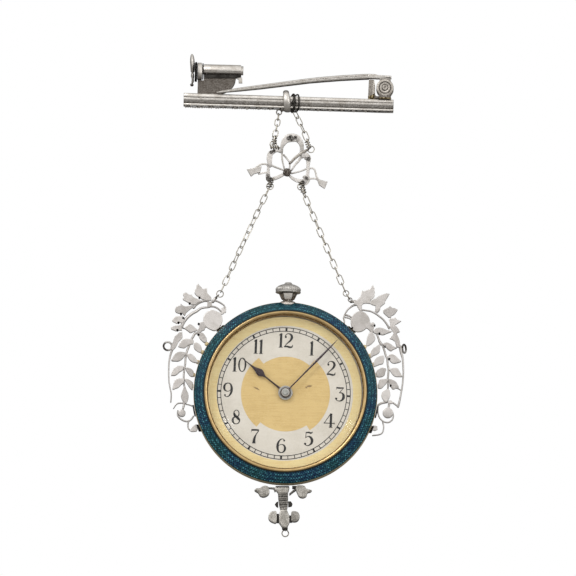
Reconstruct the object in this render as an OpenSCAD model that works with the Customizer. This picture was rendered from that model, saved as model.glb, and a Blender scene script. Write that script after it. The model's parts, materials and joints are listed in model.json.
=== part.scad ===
// Pendant watch on a bar brooch, hanging, seen from its dial side along +Y.
// +Z up, +X right. The origin is the middle of the bar's back face, where the jewel pins on.

/* [Watch case] */
// Diameter of the case band
case_d = 27.6; // [26:0.1:29]
// Thickness of the case from bezel to back
case_thick = 6.0; // [5.4:0.1:7]
// Distance from the bar's back face down to the centre of the dial
watch_drop = 44.9; // [44.5:0.1:45.5]
// Outer diameter of the gold bezel
bezel_d = 24.66; // [24.3:0.02:25]
// Turn of the watch in its frame, clockwise in degrees
watch_turn = 1.0; // [0:0.1:2]

/* [Dial and hands] */
// Further turn of the dial and its hands, clockwise in degrees
dial_turn = 0.9; // [0:0.1:2]
// Minutes shown
minutes_shown = 7.0; // [0:0.5:59]
// Angle of the hour hand from twelve, clockwise in degrees
hour_angle = 306.5; // [0:0.5:359.5]
// Length of the hour hand
hour_len = 7.6; // [6.5:0.1:8]
// Length of the minute hand
minute_len = 11.2; // [9.5:0.1:11.3]

/* [Crown] */
// Diameter of the fluted crown
crown_d = 3.84; // [3.4:0.02:4.1]
// Number of flutes
crown_flutes = 24; // [18:1:28]

/* [Bar brooch] */
// Length of the bar
bar_len = 31.5; // [31:0.1:32]
// Depth of the bar from its back to its front face
bar_h = 1.3; // [1.2:0.05:1.4]
// Width of the bar
bar_w = 2.2; // [2:0.05:2.3]
// Tilt of the bar, right end lower, in degrees
bar_tilt = 0.9; // [0:0.1:1.2]
// Number of small stones in the bar's front
stone_count = 17; // [11:1:17]
// Angle of the pin towards the viewer, in degrees
pin_yaw = 3.3; // [3:0.1:4]

/* [Chains] */
// Wire diameter of the chain links
link_wire = 0.15; // [0.13:0.01:0.17]
// Outer width of a link
link_w = 0.9; // [0.85:0.01:1]
// Links in each upper chain
upper_links = 5; // [5:1:6]
// Links in each lower chain
lower_links = 14; // [13:1:15]

/* [Bow and wings] */
// Thickness of the ribbon bow
bow_t = 0.4; // [0.3:0.05:0.5]
// Thickness of the pierced wings
wing_t = 0.6; // [0.5:0.05:0.7]

/* [Hidden] */
$fn = 64;

silver = [0.72, 0.70, 0.68];
dark_silver = [0.45, 0.43, 0.41];
gold = [0.82, 0.70, 0.48];
enamel = [0.12, 0.26, 0.29];
dial_silver = [0.85, 0.82, 0.78];
hand_brown = [0.25, 0.17, 0.18];
glass = [0.9, 0.95, 1, 0.3];

// Small gap between separate pieces, and the looser one between chain links
gap = 0.04;
link_gap = 0.12;

// Heights in the watch, measured forward from the plane of the enamel's outer edge
case_r = case_d/2;
bezel_r = bezel_d/2;
front_h = 1.9;
back_h = front_h - case_thick;
band_front_h = -gap;
band_back_h = -1.9;
glass_r = 11.75;
enamel_r = case_r - 0.2;
dial_h = -0.2;
dial_t = 0.35;
minute_angle = minutes_shown*6;
post_r = 0.36;
running_gap = 0.04;

// Radial places along the crown's axis, from the centre of the watch
crown_y = 0.6;
crown_base = 15.2;
crown_top = 16.72;
neck_top = 15.1;

// Places on the bar, along X and Z in the bar's own tilted frame
bar_x = 0.1;
pin_pivot = [14.5, 1.6];
knuckle_r = 1.3;
hub_r = 1.1;
hub_half = 0.5;
rivet_r = 0.4;
tube_x = [-12.85, -7.15];
tube_z = 3.8;
tube_r = 0.85;
tube_bore = 0.72;
stone_pitch = 1.78;
stone_r = 0.66;

// Layers along Y
wing_y = 0.5;

// Chain ends: centres of the rings and eyes that the chains hang from
ring_r = 0.5;
ring_wire = 0.15;
eye_r = 0.28;
eye_wire = 0.15;
bail_eye = [-1.33, -2.5];
bar_ring_foot = [0.95, -2.19];
bow_ring_ul = [-2.15, -7.2];
bow_ring_ur = [3.5, -7.9];
bow_ring_ll = [-2.6, -13.55];
bow_ring_lr = [2.05, -13.6];
wing_ring_l = [-9.95, -29.95];
wing_ring_r = [9.3, -30.25];
small_ring_rad = 0.42;
ring_fall = 57;
link_reach = link_wire + link_gap;
small_ring_r = wing_ring_r - (ring_r + small_ring_rad - link_reach)*[cos(ring_fall), -sin(ring_fall)];

function lerp(a, b, t) = a + (b - a)*t;
function unit(v) = v/norm(v);
function flip(p) = [for (q = p) [-q[0], q[1]]];
function heading(v) = atan2(v[1], v[0]);

// Smooth curve through points, with n steps between neighbours
function curve(p, n = 4) = let (m = len(p) - 1) concat(
    [for (i = [0:m - 1], k = [0:n - 1])
        let (a = p[max(i - 1, 0)], b = p[i], c = p[i + 1], d = p[min(i + 2, m)], t = k/n)
        0.5*(2*b + (c - a)*t + (2*a - 5*b + 4*c - d)*t*t + (3*b - 3*c + d - a)*t*t*t)],
    [p[m]]);

// Left-hand normals along a path
function normals(q) = let (m = len(q) - 1) [for (i = [0:m])
    let (d = unit(q[min(i + 1, m)] - q[max(i - 1, 0)])) [-d[1], d[0]]];

// Outline of a band along a path whose width goes from w0 to w1
function band(q, w0, w1) = let (n = normals(q), m = len(q) - 1) concat(
    [for (i = [0:m]) q[i] + n[i]*lerp(w0, w1, i/m)/2],
    [for (i = [m:-1:0]) q[i] - n[i]*lerp(w0, w1, i/m)/2]);

// Flat wire through points with rounded ends
module wire(points, w0, w1, n = 4) {
    polygon(band(curve(points, n), w0, w1));
    translate(points[0]) circle(d = w0, $fn = 12);
    translate(points[len(points) - 1]) circle(d = w1, $fn = 12);
}

// Leaf from base to tip: width w, bend sideways, fullest part at full of its length
module leaf(base, tip, w, bend = 0, full = 0.5) {
    d = tip - base;
    side = [-d[1], d[0]]/norm(d);
    k = ln(0.5)/ln(full);
    steps = 9;
    mid = [for (i = [0:steps]) let (t = i/steps) base + d*t + side*bend*4*t*(1 - t)];
    half = [for (i = [0:steps]) w/2*pow(sin(180*pow(i/steps, k)), 0.7)];
    polygon(concat([for (i = [0:steps]) mid[i] + side*half[i]],
        [for (i = [steps - 1:-1:1]) mid[i] - side*half[i]]));
}

// Upright plate between the depths y0 and y1, drawn in X and Z
module plate(y0, y1) translate([0, y1, 0]) rotate([90, 0, 0]) linear_extrude(y1 - y0) children();

// Round rod from p to q
module rod(p, q, r0, r1) {
    d = q - p;
    translate(p) rotate([0, acos(d[2]/norm(d)), atan2(d[1], d[0])])
        cylinder(h = norm(d), r1 = r0, r2 = r1);
}

// Wire ring facing the viewer
module face_ring(c, r, wire_d, y = 0, turn = 0) translate([c[0], y, c[1]])
    rotate([0, 0, turn]) rotate([90, 0, 0]) rotate_extrude() translate([r, 0]) circle(d = wire_d, $fn = 24);

// Wire eye seen edge-on, standing out at the angle a round a ring
module eye(c, a, y = 0) translate([c[0], y, c[1]]) rotate([0, -a, 0])
    rotate_extrude() translate([eye_r, 0]) circle(d = eye_wire, $fn = 24);

// Frames of the bar and the watch
module on_bar() rotate([0, bar_tilt, 0]) children();
module on_watch() translate([0, 0, -watch_drop]) rotate([0, watch_turn, 0]) children();
module on_dial() on_watch() rotate([0, dial_turn, 0]) children();
// Turned body of the watch: the profile is drawn as radius and forward height
module turned() rotate([90, 0, 0]) rotate_extrude($fn = 128) children();
// Disc or post of the watch between two forward heights
module watch_disc(r, h0, h1) translate([0, -h0, 0]) rotate([90, 0, 0]) cylinder(r = r, h = h1 - h0);

// Bar with a groove along both long sides and rails along its front
module brooch_bar() color(silver) on_bar() {
    rail_h = 0.2;
    rail_w = 0.25;
    groove_z = -0.62;
    groove_h = 0.12;
    groove_d = 0.12;
    chamfer = 0.3;
    difference() {
        translate([bar_x - bar_len/2, -bar_w/2, -bar_h - rail_h]) cube([bar_len, bar_w, bar_h + rail_h]);
        translate([bar_x - bar_len/2 + rail_w, -bar_w/2 + rail_w, -bar_h - rail_h - 1])
            cube([bar_len - 2*rail_w, bar_w - 2*rail_w, rail_h + 1]);
        for (s = [-1, 1]) translate([bar_x, s*bar_w/2, groove_z])
            cube([bar_len + 1, 2*groove_d, groove_h], center = true);
        for (s = [-1, 1]) translate([bar_x + s*bar_len/2, 0, -bar_h - rail_h]) rotate([0, 45, 0])
            cube([chamfer*sqrt(2), bar_w + 1, chamfer*sqrt(2)], center = true);
    }
}

// One cut stone, its table facing down: 8 facets round the table, 8 round the pavilion
module cut_stone(r) {
    table = 0.58*r;
    crown_h = 0.3*r;
    pavilion_h = 0.25;
    cylinder(h = pavilion_h, r1 = r, r2 = 0.6*r, $fn = 8);
    translate([0, 0, -crown_h]) cylinder(h = crown_h, r1 = table, r2 = r, $fn = 8);
}

module bar_stones() color("white") on_bar() for (i = [0:stone_count - 1])
    translate([bar_x + (i - (stone_count - 1)/2)*stone_pitch, 0, -bar_h - gap - 0.25]) cut_stone(stone_r);

// Knuckle of two ears with the rivet, and the post that stops the pin
module hinge_block() color(silver) on_bar() {
    ear_t = 0.75;
    ear_y = hub_half + 0.06;
    foot_h = 0.45;
    post = [12.0, 12.95];
    post_top = 2.9;
    head_t = 0.12;
    px = pin_pivot[0];
    pz = pin_pivot[1];
    difference() {
        union() {
            for (s = [-1, 1]) translate([px, s*(ear_y + ear_t/2) + ear_t/2, pz]) rotate([90, 0, 0])
                cylinder(r = knuckle_r, h = ear_t);
            translate([px - 0.95, -ear_y - ear_t, gap]) cube([1.9, 2*(ear_y + ear_t), foot_h]);
            translate([post[0], -0.7, gap]) cube([post[1] - post[0], 1.4, post_top - gap]);
            translate([post[1] - 0.2, -0.7, 0.75]) cube([0.7, 1.4, 1.3]);
        }
        translate([px, 0, pz]) rotate([90, 0, 0])
            cylinder(r = hub_r + 0.12, h = 2*ear_y, center = true);
        translate([px, -ear_y, pz]) cube([3, 2*ear_y, 3]);
    }
    translate([px, ear_y + ear_t + head_t, pz]) rotate([90, 0, 0])
        cylinder(r = rivet_r, h = 2*(ear_y + ear_t + head_t));
}

// Pin with its hub and shoulder; it leans towards the viewer so that it clears the catch
module pin_stem() color(silver) on_bar() {
    px = pin_pivot[0];
    pz = pin_pivot[1];
    shoulder = [11.9, 15.4];
    shoulder_z = [3.05, 3.62];
    bend_x = 4;
    tip_x = -10.7;
    stem_r = 0.4;
    tip_r = 0.14;
    lean = tan(pin_yaw);
    root = [shoulder[0], 0, 3.34];
    bend = [bend_x, -(root[0] - bend_x)*lean, 2.55];
    tip = [tip_x, -(root[0] - tip_x)*lean, 0.24];
    difference() {
        union() {
            translate([px, hub_half, pz]) rotate([90, 0, 0]) cylinder(r = hub_r, h = 2*hub_half);
            translate([px - 0.8, -hub_half, pz]) cube([1.6, 2*hub_half, shoulder_z[0] - pz + 0.1]);
            translate([shoulder[0], -hub_half, shoulder_z[0]])
                cube([shoulder[1] - shoulder[0], 2*hub_half, shoulder_z[1] - shoulder_z[0]]);
            rod(root + [0.3, 0, 0], bend, stem_r, 0.92*stem_r);
            translate(bend) sphere(r = 0.98*stem_r);
            rod(bend, tip, 0.92*stem_r, tip_r);
            translate(tip) sphere(r = 1.15*tip_r);
        }
        translate([px, hub_half + 1, pz]) rotate([90, 0, 0])
            cylinder(r = rivet_r + running_gap, h = 2*hub_half + 2);
    }
}

// Plate with the slotted tube along its top
module catch_housing() color(silver) on_bar() {
    plate_x = [-13.65, -7.95];
    plate_half = 0.3;
    corner = 1.1;
    slot_w = 0.3;
    slot_turn = 40;
    difference() {
        union() {
            plate(-plate_half, plate_half) polygon([[plate_x[0], gap], [plate_x[1] - corner, gap],
                [plate_x[1] - 0.35*corner, 0.55], [plate_x[1], corner], [plate_x[1], 1.85],
                [-6.9, 1.85], [-6.9, 2.7], [plate_x[1], 2.7], [plate_x[1], 3.2],
                [tube_x[0] + 0.1, 3.2], [tube_x[0] + 0.1, 1.95], [plate_x[0], 1.95]]);
            translate([tube_x[0], 0, tube_z]) rotate([0, 90, 0])
                cylinder(r = tube_r, h = tube_x[1] - tube_x[0]);
        }
        translate([tube_x[0] - 1, 0, tube_z]) rotate([0, 90, 0])
            cylinder(r = tube_bore, h = tube_x[1] - tube_x[0] + 2);
        translate([tube_x[0] + 0.6, 0, tube_z]) rotate([slot_turn, 0, 0])
            translate([0, -2, -slot_w/2]) cube([tube_x[1] - tube_x[0], 2, slot_w]);
    }
}

// Inner tube with collar, dark washer and leaf-shaped thumb piece
module catch_slide() color(silver) on_bar() {
    tube_out = tube_bore - running_gap;
    tube_in = 0.5;
    end_x = -6.8;
    collar = [-13.72, -12.98];
    washer = [-14.08, -13.72];
    leaf_x = [-14.85, -14.08];
    difference() {
        translate([collar[1], 0, tube_z]) rotate([0, 90, 0]) cylinder(r = tube_out, h = end_x - collar[1]);
        translate([collar[1] + 0.5, 0, tube_z]) rotate([0, 90, 0]) cylinder(r = tube_in, h = 8);
    }
    translate([collar[0], 0, tube_z]) rotate([0, 90, 0]) cylinder(r = 1.05, h = collar[1] - collar[0]);
    translate([collar[0], -0.35, 2.2]) cube([collar[1] - collar[0], 0.7, 1]);
    translate([washer[0], 0, 3.45]) rotate([0, 90, 0]) cylinder(r = 1.5, h = washer[1] - washer[0]);
    translate([leaf_x[0], 0, 0]) rotate([90, 0, 90]) linear_extrude(leaf_x[1] - leaf_x[0]) {
        leaf([0, 3.4], [0, 6.2], 1.9, 0, 0.45);
        leaf([0, 4.6], [0, 1.7], 1.5, 0, 0.5);
    }
    translate([-14.46, 0, 1.5]) sphere(r = 0.28, $fn = 24);
}

// Band round the bar with an arm and eye for the left chain
module bail() color(silver) {
    x0 = -0.75;
    x1 = 0.3;
    z_mid = -0.72;
    in_half = [1.62, 1.28];
    wall = 0.4;
    translate([x0, 0, z_mid]) rotate([90, 0, 90]) linear_extrude(x1 - x0) difference() {
        oval(in_half + [wall, wall]);
        oval(in_half);
    }
    rod([x0 + 0.1, 0, -2.2], [bail_eye[0] + 0.3, 0, bail_eye[1] + 0.1], 0.13, 0.1);
    face_ring(bail_eye, 0.26, 0.16);
}

module oval(half) {
    n = 40;
    polygon([for (i = [0:n - 1]) let (a = 360*i/n) [half[0]*cos(a), half[1]*sin(a)]]);
}

// Root of a cosine with its sign kept, which squares an oval
function blunt(v) = sign(v)*sqrt(abs(v));

// Squared oval wire ring round the bar, turned a little about the upright
module bar_ring() color(dark_silver) {
    half = [1.5, 1.24];
    wire_r = 0.13;
    translate([bar_ring_foot[0], 0, bar_ring_foot[1] + half[1]]) rotate([0, 0, 16])
        ring_mesh([for (i = [0:19]) let (a = 18*i) [0, half[0]*blunt(cos(a)), half[1]*blunt(sin(a))]],
            [1, 0, 0], wire_r, 6);
}

// Closed round wire along a loop of points that lies across the axis n
module ring_mesh(p, n, r, sides) {
    m = len(p);
    pts = [for (i = [0:m - 1]) let (t = unit(p[(i + 1)%m] - p[(i + m - 1)%m]), o = cross(n, t))
        for (k = [0:sides - 1]) let (a = 360*(k + 0.5)/sides) p[i] + r*(o*cos(a) + n*sin(a))];
    faces = [for (i = [0:m - 1], k = [0:sides - 1])
        let (j = (i + 1)%m, l = (k + 1)%sides) [i*sides + k, i*sides + l, j*sides + l, j*sides + k]];
    polyhedron(pts, faces, convexity = 4);
}

// One chain link between two contact points of the chain, turned about its own length
module link(p, q, over, turn) {
    d = q - p;
    half_len = norm(d)/2 + over;
    half_w = (link_w - link_wire)/2;
    loop = [for (k = [0:11]) let (a = 30*k + 15, s = cos(a) > 0 ? 1 : -1)
        [half_w*cos(a) + s*(half_len - half_w), half_w*sin(a), 0]];
    translate([(p[0] + q[0])/2, 0, (p[1] + q[1])/2]) rotate([0, -heading(d), 0]) rotate([turn, 0, 0])
        ring_mesh(loop, [0, 0, 1], link_wire/2, 6);
}

// Turn from link to link, near 90 degrees, that takes n links from turn0 to an edge-on end
function link_step(n, turn0) = (180*round(((n - 1)*90 + turn0)/180) - turn0)/(n - 1);

// Chain of n links between two anchor wires, with a sideways sag
module chain(a, b, n, sag, turn0) {
    over = link_reach/2;
    d = unit(b - a);
    s = a - d*over;
    e = b + d*over;
    side = [-d[1], d[0]];
    at = [for (i = [0:n]) let (t = i/n) lerp(s, e, t) + side*sag*4*t*(1 - t)];
    for (i = [0:n - 1]) link(at[i], at[i + 1], over, turn0 + i*link_step(n, turn0));
}

// Point on a ring's wire in the direction towards another point
function ring_foot(c, r, towards) = c + r*unit(towards - c);

// Face-on wire ring as a mesh
module jump_ring(c, r, turn = 0) translate([c[0], 0, c[1]]) rotate([0, 0, turn])
    ring_mesh([for (i = [0:15]) let (a = 22.5*i) [r*cos(a), 0, r*sin(a)]], [0, -1, 0], ring_wire/2, 6);

module chain_upper_left() color(silver) {
    a = bail_eye + [-0.08, -0.26];
    chain(a, ring_foot(bow_ring_ul, ring_r, a), upper_links, 0.05, 8);
    jump_ring(bow_ring_ul, ring_r);
}

module chain_upper_right() color(silver) {
    a = bar_ring_foot;
    chain(a, ring_foot(bow_ring_ur, ring_r, a), upper_links, 0.1, 45);
    jump_ring(bow_ring_ur, ring_r);
}

module chain_lower_left() color(silver) {
    a = ring_foot(bow_ring_ll, ring_r, wing_ring_l);
    chain(a, ring_foot(wing_ring_l, ring_r, a), lower_links, -0.05, -12);
    jump_ring(bow_ring_ll, ring_r);
    jump_ring(wing_ring_l, ring_r);
}

module chain_lower_right() color(silver) {
    a = ring_foot(bow_ring_lr, ring_r, small_ring_r);
    chain(a, ring_foot(small_ring_r, small_ring_rad, a), lower_links - 1, 0, -16);
    jump_ring(bow_ring_lr, ring_r);
    jump_ring(small_ring_r, small_ring_rad);
    // The last ring lies edge-on and passes through the wing's eye
    translate([wing_ring_r[0], 0, wing_ring_r[1]]) rotate([0, ring_fall, 0]) rotate([90, 0, 0])
        jump_ring([0, 0], ring_r);
}

// Flat ribbon bow: loops, petals, tails and the wires that gather at the knot
module bow() color(silver) {
    knot = [-0.05, -11.45];
    t = 0.2;
    plate(-bow_t/2, bow_t/2) offset(delta = 0.01) {
        translate(knot) circle(r = 0.66, $fn = 24);
        // Top loop and its two wires
        wire([[-0.75, -8.5], [-0.8, -7.6], [-0.3, -6.75], [0.7, -6.4], [1.6, -6.7], [2.05, -7.5], [2.0, -8.3]],
            0.45, 0.5, 5);
        wire([[-0.35, -7.0], [0.2, -6.5], [0.85, -6.35], [1.5, -6.55], [1.95, -7.1]], 0.6, 0.9, 4);
        wire([[-0.8, -8.3], [-0.75, -9.4], [-0.5, -10.3], [-0.3, -11.1]], 0.3, t, 3);
        wire([[-0.65, -8.6], [-0.1, -9.1], [0.35, -9.95], [0.3, -11.1]], t, t, 3);
        wire([[-1.85, -7.8], [-1.0, -7.75]], 0.2, 0.25, 1);
        wire([[2.45, -8.25], [2.82, -8.4]], 0.3, 0.22, 1);
        wire([[2.6, -7.85], [1.9, -8.45], [1.1, -9.1], [0.38, -9.95]], 0.5, t, 3);
        wire([[2.15, -8.2], [1.75, -9.4], [1.1, -10.4], [0.4, -11.15]], 0.35, t, 3);
        // Left loop
        wire([[-0.85, -8.15], [-1.7, -8.1], [-2.5, -8.3], [-2.85, -9.1], [-2.7, -10.1]], 0.5, 0.75, 5);
        wire([[-2.6, -10.0], [-1.8, -10.65], [-0.5, -11.05]], 0.35, t, 3);
        // Right loop
        wire([[2.0, -8.8], [2.7, -8.75], [3.1, -9.3], [3.0, -10.2], [2.6, -10.7], [1.6, -11.1], [0.4, -11.4]],
            0.5, 0.22, 4);
        wire([[2.3, -8.8], [2.9, -8.95], [3.1, -9.7]], 0.6, 0.6, 3);
        // Falling ribbons at the sides
        wire([[-2.85, -9.9], [-2.9, -11.2], [-3.0, -12.1], [-2.75, -12.55]], 0.45, 0.65, 4);
        wire([[3.1, -10.2], [3.15, -11.3], [2.95, -12.2], [2.5, -12.6]], 0.4, 0.55, 4);
        // Petals below the knot
        wire([[-0.3, -11.6], [-1.1, -11.95], [-1.9, -12.3], [-2.6, -12.5]], 0.7, 0.7, 3);
        wire([[0.2, -11.75], [1.0, -12.35], [1.9, -12.55], [2.65, -12.4]], 0.4, 0.7, 3);
        // Left tail
        wire([[-2.9, -10.45], [-3.25, -10.15], [-3.8, -10.4], [-4.5, -10.95]], 0.2, 0.5, 4);
        wire([[-3.1, -11.7], [-3.7, -11.55], [-4.3, -11.4]], 0.22, 0.4, 3);
        polygon([[-3.85, -10.55], [-6.1, -11.05], [-5.45, -12.15], [-5.0, -11.75], [-4.1, -11.5]]);
        // Right tail
        wire([[3.1, -10.8], [3.75, -10.7], [4.2, -11.15], [4.25, -12.0], [4.75, -12.75]], 0.22, 0.35, 4);
        wire([[3.0, -12.35], [3.7, -12.3], [4.4, -12.45]], 0.25, 0.3, 3);
        polygon([[4.4, -12.3], [5.0, -12.55], [6.05, -12.8], [5.6, -13.9], [4.75, -13.35]]);
    }
    // Eyes that the chains' rings pass through
    eye(bow_ring_ul + [0, -ring_r], -90);
    eye(bow_ring_ur + ring_r*[cos(215), sin(215)], 215);
    eye(bow_ring_ll + [0, ring_r], 90);
    eye(bow_ring_lr + [0, ring_r], 90);
    rod([bow_ring_ul[0], 0, bow_ring_ul[1] - 0.85], [bow_ring_ul[0], 0, bow_ring_ul[1] - 0.75], 0.15, 0.15);
}

// Leaves at the top of a wing: base x, base z, tip x, tip z, width, bend, fullest part
TOP_LEAVES_LEFT = [
    [11.3, -31.2, 13.35, -28.4, 2.3, -0.25, 0.45],
    [11.4, -30.9, 12.1, -29.0, 1.2, 0, 0.55],
    [13.4, -31.5, 15.4, -29.75, 1.7, -0.1, 0.5],
    [13.9, -31.9, 16.75, -32.4, 1.5, 0.1, 0.62],
    [15.2, -33.9, 17.2, -34.1, 1.25, 0.1, 0.5],
    [15.4, -35.1, 17.35, -35.35, 0.85, 0.1, 0.5],
];
TOP_LEAVES_RIGHT = [
    [11.0, -31.4, 13.0, -28.25, 2.1, -0.2, 0.45],
    [10.9, -31.1, 11.5, -29.1, 1.3, 0, 0.55],
    [13.2, -31.7, 15.55, -29.65, 1.9, 0.05, 0.45],
    [14.0, -32.1, 16.85, -32.0, 1.5, -0.1, 0.55],
    [15.2, -33.9, 17.35, -33.8, 1.3, 0, 0.45],
    [15.6, -35.2, 17.1, -35.2, 0.7, 0, 0.5],
];
// Leaves of the hanging spray: base x, base z, tip x, tip z, width, bend, fullest part
SPRAY_LEAVES = [
    [13.1, -35.3, 15.8, -35.25, 1.15, -0.05, 0.45],
    [13.4, -35.65, 11.95, -37.3, 0.95, 0.1, 0.6],
    [13.9, -36.9, 16.3, -37.95, 1.15, 0.1, 0.45],
    [14.05, -37.4, 12.5, -39.0, 1.2, 0.1, 0.55],
    [14.6, -39.0, 17.3, -39.95, 1.35, 0.25, 0.5],
    [14.9, -38.9, 13.1, -40.4, 1.3, -0.1, 0.6],
    [15.1, -41.0, 17.4, -42.4, 1.3, 0.2, 0.45],
    [15.3, -41.0, 13.7, -42.4, 1.2, -0.15, 0.6],
    [15.1, -42.9, 17.3, -44.5, 1.3, 0.2, 0.45],
    [15.3, -42.9, 13.85, -44.4, 1.0, -0.2, 0.5],
    [15.15, -44.0, 15.2, -46.6, 1.25, 0, 0.5],
];

// Right-hand outline of a wing without its top leaves
module wing_outline() {
    disc = [11.08, -33.9];
    thin = 0.22;
    // Disc of the flower with its lip and the hook towards the spray
    translate(disc) circle(r = 1.42, $fn = 40);
    polygon([[9.85, -34.2], [12.4, -34.2], [12.7, -34.9], [12.1, -35.05], [11.4, -35.3], [10.5, -35.45]]);
    translate([13.0, -34.4]) circle(r = 0.27, $fn = 16);
    wire([[12.3, -34.3], [12.7, -34.9], [13.1, -35.4], [13.6, -36.1]], 0.75, 0.3, 3);
    translate([12.5, -35.35]) circle(r = 0.25, $fn = 16);
    // Outer arch from the case over the disc, and the arch under the top leaves
    wire([[8.75, -34.4], [8.65, -33.4], [8.95, -32.4], [9.5, -31.5], [10.3, -31.05], [11.2, -31.0],
        [12.4, -31.15], [13.5, -31.6], [14.1, -32.2]], thin, 0.35, 3);
    wire([[9.75, -33.1], [10.1, -32.4], [10.9, -32.0], [12.0, -32.05], [13.2, -32.45], [14.3, -33.25],
        [15.1, -34.2], [15.6, -35.1]], 0.25, 0.4, 3);
    leaf([9.0, -32.2], [10.1, -33.2], 0.6, 0, 0.6);
    polygon([[11.1, -31.0], [11.8, -31.0], [11.75, -32.0], [11.25, -32.0]]);
    polygon([[13.7, -31.5], [14.6, -31.9], [15.3, -33.0], [15.5, -34.3], [15.1, -34.0], [14.2, -32.6]]);
    // Spine down the outer side to the foot
    wire([[15.0, -33.6], [15.6, -35.0], [16.1, -36.2], [16.7, -37.6], [17.15, -38.8], [17.45, -40.2],
        [17.5, -41.9], [17.4, -43.8], [17.25, -45.2], [16.95, -46.5]], 0.7, 0.24, 3);
    leaf([15.9, -36.2], [15.2, -36.7], 0.35, 0, 0.5);
    polygon([[15.85, -35.7], [16.4, -35.8], [16.95, -37.0], [17.0, -38.0], [16.5, -37.8], [16.15, -36.8]]);
    // Stem of the spray
    wire([[13.3, -35.6], [13.8, -36.7], [14.5, -38.2], [15.0, -39.6], [15.3, -41.3], [15.3, -43.0],
        [15.2, -44.4]], 0.35, 0.3, 3);
    // Foot: wire to the case, small scroll, berry in its ring, lower loop
    wire([[15.3, -46.6], [14.6, -46.8], [13.9, -47.0]], 0.3, 0.2, 3);
    wire([[15.3, -46.5], [15.9, -46.4], [16.4, -46.75], [16.85, -47.0]], 0.3, 0.2, 3);
    wire([[15.3, -46.4], [15.4, -47.1], [15.5, -47.7]], 0.35, 0.3, 3);
    translate([15.45, -48.0]) circle(r = 0.62, $fn = 24);
    wire([[16.0, -47.5], [16.25, -48.1], [15.95, -48.8], [15.2, -49.15], [14.5, -48.95], [13.6, -48.2]],
        0.25, 0.22, 4);
    wire([[14.3, -48.9], [14.65, -49.5], [14.75, -50.2], [14.3, -50.85], [13.6, -51.05]], 0.22, 0.22, 4);
    leaf([14.8, -50.4], [13.0, -50.1], 0.75, 0, 0.6);
}

module wing_plate(leaves, lug, ring, face_on) {
    a = heading(lug - ring);
    out = [cos(a), sin(a)];
    arm_end = lug + 0.22*out;
    plate(wing_y, wing_y + wing_t) offset(delta = 0.01) difference() {
        union() {
            wing_outline();
            for (l = leaves) leaf([l[0], l[1]], [l[2], l[3]], l[4], l[5], l[6]);
            for (l = SPRAY_LEAVES) leaf([l[0], l[1]], [l[2], l[3]], l[4], l[5], l[6]);
            wire([[11.0, -31.0], [lerp(11.0, lug[0], 0.5), lerp(-31.0, lug[1], 0.6)], arm_end], 0.45, 0.36, 3);
        }
        translate([0, -watch_drop]) circle(r = case_r + gap, $fn = 180);
    }
    // Eye for the ring, carried forward from the plate
    if (face_on) face_ring(lug, eye_r, eye_wire);
    else eye(lug, a);
    translate([lug[0] + eye_r*out[0], 0, lug[1] + eye_r*out[1]]) rotate([-90, 0, 0])
        cylinder(r = 0.12, h = wing_y + 0.1);
}

module wing_left() color(silver) mirror([1, 0, 0]) {
    ring = [-wing_ring_l[0], wing_ring_l[1]];
    wing_plate(TOP_LEAVES_LEFT, ring + ring_r*[cos(-40), sin(-40)], ring, false);
}

module wing_right() color(silver)
    wing_plate(TOP_LEAVES_RIGHT, wing_ring_r + ring_r*[cos(ring_fall), -sin(ring_fall)], wing_ring_r, true);

module side_ring_left() color(silver)
    face_ring([-17.72, -37.75], 0.62, 0.3, wing_y + wing_t + 0.2);

module side_ring_right() color(silver)
    face_ring([17.75, -37.75], 0.62, 0.3, wing_y + wing_t + 0.8, 65);

// Case band with the pendant tube that the crown's stem passes through
module case_middle() color(gold) on_watch() difference() {
    union() {
        turned() polygon([[12.0, band_front_h], [case_r - 0.15, band_front_h], [case_r, band_front_h - 0.2],
            [case_r, band_back_h + 0.3], [case_r - 0.25, band_back_h], [12.0, band_back_h]]);
        translate([0, crown_y, case_r - 0.5]) cylinder(r = 1.02, h = neck_top - case_r + 0.5);
        translate([0, crown_y, neck_top - 0.5]) cylinder(r1 = 0.95, r2 = 1.15, h = 0.5);
    }
    translate([0, crown_y, 11]) cylinder(r = 0.45, h = 5);
    watch_disc(enamel_r + gap, band_front_h, front_h);
}

// Domed back cover, a shell
module case_back() color(gold) on_watch() {
    wall = 0.45;
    edge = band_back_h - gap;
    n = 8;
    rim = case_r - 0.3;
    outer = [for (i = [0:n]) let (a = 90*i/n) [rim*pow(sin(a), 0.55), back_h + (edge - back_h)*(1 - cos(a))]];
    inner = [for (i = [n:-1:0]) [outer[i][0]*(rim - wall)/rim, min(outer[i][1] + wall, edge)]];
    turned() polygon(concat(outer, inner));
}

// Sloping convex band that carries the enamel
module enamel_ring() color(enamel) on_watch() {
    n = 6;
    rise = front_h - 0.15;
    crown = 0.16;
    turned() polygon(concat(
        [for (i = [0:n]) let (t = i/n, b = crown*sin(180*t))
            [lerp(enamel_r, bezel_r + gap, t) + b*0.8, lerp(0, rise, t) + b*0.6]],
        [[bezel_r + gap, 0]]));
}

// Bright gold bezel with a rounded lip and the seat of the glass
module bezel() color(gold) on_watch() {
    lip = 0.16;
    turned() polygon([[glass_r, 0], [bezel_r, 0],
        [bezel_r, front_h - 2*lip], [bezel_r - 0.3*lip, front_h - 0.7*lip], [bezel_r - lip, front_h],
        [bezel_r - 2*lip, front_h + 0.02], [bezel_r - 3*lip, front_h - 0.5*lip], [glass_r, front_h - 2*lip]]);
}

// Domed crystal
module crystal() color(glass) on_watch() {
    rim = glass_r - gap;
    rise = 1.0;
    wall = 0.35;
    base = front_h - 0.7;
    n = 8;
    top = [for (i = [0:n]) let (t = i/n) [rim*t, base + wall + rise*(1 - t*t)]];
    low = [for (i = [n:-1:0]) let (t = i/n) [rim*t, base + rise*(1 - t*t)*0.96]];
    turned() polygon(concat(low, top));
}

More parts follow.
